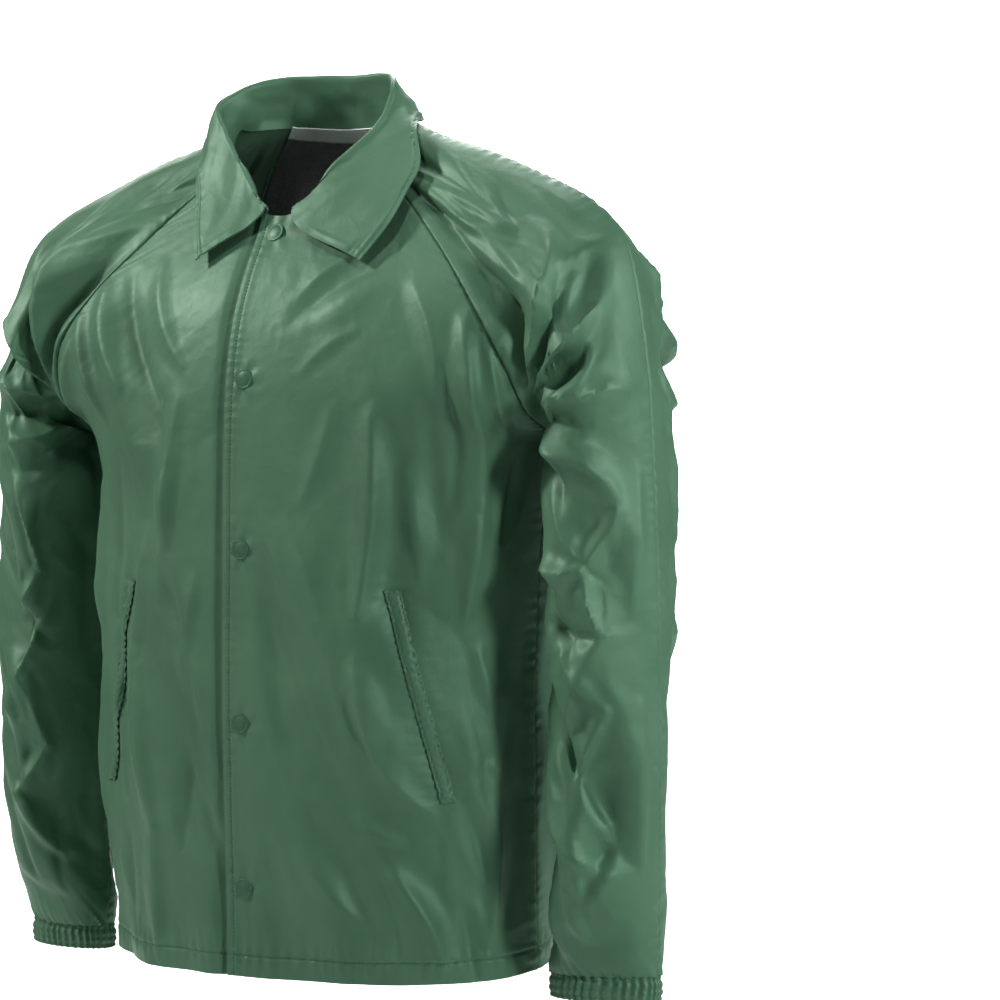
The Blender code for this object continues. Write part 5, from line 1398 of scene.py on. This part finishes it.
def fleece(name, dark, light, edge):
    """Brushed lining: matt, soft and mottled, in greys kept dark as painted shade, with a pale band of painted
    light along the neck seam.
    """
    material, tree, shader = new_material(name)
    shader.inputs["Roughness"].default_value = 0.95
    shader.inputs["Sheen Weight"].default_value = 0.15
    shader.inputs["Sheen Roughness"].default_value = 0.7
    places = tree.nodes.new("ShaderNodeTexCoord").outputs["Object"]
    nap = new_noise(tree, 420.0, 6.0)
    # Both greys are kept dark as painted shade that the collar casts inside the back.
    tones = two_tones(tree, (0.3, dark), (0.7, light))
    cloth = tree.nodes.new("ShaderNodeUVMap")
    cloth.uv_map = "cloth"
    split = tree.nodes.new("ShaderNodeSeparateXYZ")
    # Painted light: the colour passed in as edge is mixed over the top 15 mm or so of the lining, a pale band
    # standing in for light on its upper edge.
    painted_light_band = tree.nodes.new("ShaderNodeMapRange")
    painted_light_band.inputs["From Min"].default_value, painted_light_band.inputs["From Max"].default_value = 0.0170, 0.0145
    painted_light_mix = tree.nodes.new("ShaderNodeMix")
    painted_light_mix.data_type = "RGBA"
    painted_light_mix.inputs[7].default_value = (*edge, 1.0)
    bump = new_bump(tree, 0.5, 0.0010)
    node_link(tree, (places, nap.inputs["Vector"]), (nap.outputs["Fac"], tones.inputs["Fac"]),
              (cloth.outputs["UV"], split.inputs["Vector"]), (split.outputs["Y"], painted_light_band.inputs["Value"]),
              (painted_light_band.outputs["Result"], painted_light_mix.inputs["Factor"]), (tones.outputs["Color"], painted_light_mix.inputs[6]),
              (painted_light_mix.outputs[2], shader.inputs["Base Color"]), (nap.outputs["Fac"], bump.inputs["Height"]),
              (bump.outputs["Normal"], shader.inputs["Normal"]))
    return material


def lacquer(name, dark, light):
    """Glossy paint on the snap caps, slightly uneven with handling."""
    material, tree, shader = new_material(name)
    shader.inputs["Specular IOR Level"].default_value = 0.35
    shader.inputs["Specular Tint"].default_value = (0.62, 1.0, 0.74, 1.0)
    places = tree.nodes.new("ShaderNodeTexCoord").outputs["Object"]
    wear = new_noise(tree, 300.0, 4.0)
    tones = two_tones(tree, (0.3, dark), (0.7, light))
    gloss = tree.nodes.new("ShaderNodeMapRange")
    gloss.inputs["To Min"].default_value, gloss.inputs["To Max"].default_value = 0.36, 0.50
    node_link(tree, (places, wear.inputs["Vector"]), (wear.outputs["Fac"], tones.inputs["Fac"]),
              (tones.outputs["Color"], shader.inputs["Base Color"]), (wear.outputs["Fac"], gloss.inputs["Value"]),
              (gloss.outputs["Result"], shader.inputs["Roughness"]))
    return material


def plain(name, colour):
    material = bpy.data.materials.new(name)
    material.use_nodes = True
    shader = material.node_tree.nodes["Principled BSDF"]
    shader.inputs["Base Color"].default_value = (*colour, 1.0)
    shader.inputs["Roughness"].default_value = 0.9
    return material


def place_camera():
    """Level eye in front of the wearer's left, aimed so that the jacket fills the frame as photographed."""
    turn = math.radians(CAMERA_TURN)
    right = Vector((math.cos(turn), math.sin(turn), 0))
    ahead = Vector((-math.sin(turn), math.cos(turn), 0))
    aim = ahead + right * CAMERA_ASIDE - Vector((0, 0, CAMERA_DOWN))
    data = bpy.data.cameras.new("camera")
    data.sensor_width, data.lens = 36, CAMERA_LENS
    camera = bpy.data.objects.new("camera", data)
    bpy.context.scene.collection.objects.link(camera)
    camera.location = -CAMERA_AWAY * ahead + Vector((0, 0, CAMERA_HEIGHT))
    camera.rotation_euler = aim.to_track_quat("-Z", "Y").to_euler()
    bpy.context.scene.camera = camera


def place_light(name, place, target, size, power, colour):
    data = bpy.data.lights.new(name, "AREA")
    data.shape, data.size, data.size_y = "RECTANGLE", size[0], size[1]
    data.energy, data.color = power, colour
    light = bpy.data.objects.new(name, data)
    bpy.context.scene.collection.objects.link(light)
    light.location = place
    light.rotation_euler = (Vector(target) - Vector(place)).to_track_quat("-Z", "Y").to_euler()


def place_room():
    deselect()
    bpy.ops.mesh.primitive_plane_add(size=14, location=(0, 0, FLOOR))
    floor = bpy.context.object
    floor.name = "floor"
    floor.data.materials.append(plain("floor_paint", (0.62, 0.63, 0.63)))
    turn = math.radians(CAMERA_TURN)
    behind = (-BACKDROP_AWAY * math.sin(turn), BACKDROP_AWAY * math.cos(turn), FLOOR + 1.9)
    bpy.ops.mesh.primitive_plane_add(size=3.8, location=behind, rotation=(math.pi / 2, 0, turn))
    backdrop = bpy.context.object
    backdrop.name = "backdrop"
    paper = plain("backdrop_paper", (0.9, 0.9, 0.9))
    shader = paper.node_tree.nodes["Principled BSDF"]
    shader.inputs["Emission Color"].default_value = (1.0, 1.0, 1.0, 1.0)
    shader.inputs["Emission Strength"].default_value = BACKDROP_GLOW
    backdrop.data.materials.append(paper)
    world = bpy.context.scene.world or bpy.data.worlds.new("room")
    bpy.context.scene.world = world
    world.use_nodes = True
    background = world.node_tree.nodes["Background"]
    background.inputs["Color"].default_value = (0.93, 0.96, 1.0, 1.0)
    background.inputs["Strength"].default_value = ROOM_LIGHT
    for light in LIGHTS:
        place_light(*light)
    bpy.context.scene.view_settings.view_transform = "Standard"


def main():
    place_camera()
    place_room()
    shell = nylon("shell_nylon", SHELL_DARK, SHELL_LIGHT, 0.50)
    thread = plain("thread", THREAD_GREEN)
    cap = lacquer("snap_lacquer", SNAP_DARK, SNAP_LIGHT)
    brushed = fleece("lining_flannel", LINING_DARK_PAINTED_SHADE, LINING_LIGHT_PAINTED_SHADE, LINING_TOP_PAINTED_LIGHT)

    coarse = [cut_grid(cut, coarse_levels(cut.name), coarse_shares(cut.name)) for cut in CUTS]
    moves = hang(coarse)
    panels, pieces = {}, {}
    for number, cut in enumerate(CUTS):
        panel = finish_panel(cut, number, coarse[number], moves[number])
        across, up = panel.ways()
        panels[cut.name] = panel
        pieces[cut.name] = grid_sheet(cut.name + "_cloth", panel.points, across, up, WALL, shell)
        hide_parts(cut.name)

    stitch = one_stitch()
    rows = {
        "front_left": [line_on(panels["front_left"], "first", PLACKET_STITCH),
                       line_on(panels["front_left"], "bottom", HEM_STITCH)],
        "front_right": [line_on(panels["front_right"], "bottom", HEM_STITCH)],
        "back": [line_on(panels["back"], "bottom", HEM_STITCH)],
    }
    sewn = {name: [sew(name + "_stitches", lines, stitch, thread)] for name, lines in rows.items()}
    for name in pieces:
        sewn.setdefault(name, [])

    leaf, line, from_edge, from_ends, falls = collar(shell)
    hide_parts("collar")
    lines = collar_lines(line, from_edge, from_ends)
    sewn["collar"] = [sew("collar_stitches", lines, stitch, thread)]
    inside = lining(panels["back"], brushed)
    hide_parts("lining_back")
    for side, word in ((1, "left"), (-1, "right")):
        strip, base, across, up = welt("welt_" + word + "_cloth", panels["front_" + word], shell)
        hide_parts("welt_" + word)
        sewn["welt_" + word] = []
        pieces["welt_" + word] = strip
        ring = cuff("cuff_" + word + "_cloth", side, shell)
        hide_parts("cuff_" + word)
        pieces["cuff_" + word] = ring
        sewn["cuff_" + word] = []
    pieces["collar"], pieces["lining_back"] = leaf, inside
    sewn["lining_back"] = []

    first = snap_cap(cap)
    for number, height in enumerate(SNAP_HEIGHTS, start=1):
        panel = panels["front_left"]
        point, normal = panel.at(0.0, height)
        across = unit(np.cross([0.0, 0.0, 1.0], normal))
        up = np.cross(normal, across)
        turn = Matrix([Vector(across), Vector(up), Vector(normal)]).transposed().to_4x4()
        spots = [panel.at(SNAP_RADIUS * math.cos(a), height + SNAP_RADIUS * math.sin(a))[0]
                 for a in np.linspace(0, 2 * math.pi, 13)]
        lift = np.mean([(spot - point) @ normal for spot in spots]) + SNAP_GAP
        piece = copied(first, f"snap_cap_{number}", Matrix.Translation(Vector(point + normal * lift)) @ turn)
        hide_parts(f"snap_{number}")
        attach(piece, "root")
    bpy.data.objects.remove(first, do_unlink=True)

    for name, piece in pieces.items():
        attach(piece, "root")
        for stitches in sewn[name]:
            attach(stitches, "root")


main()
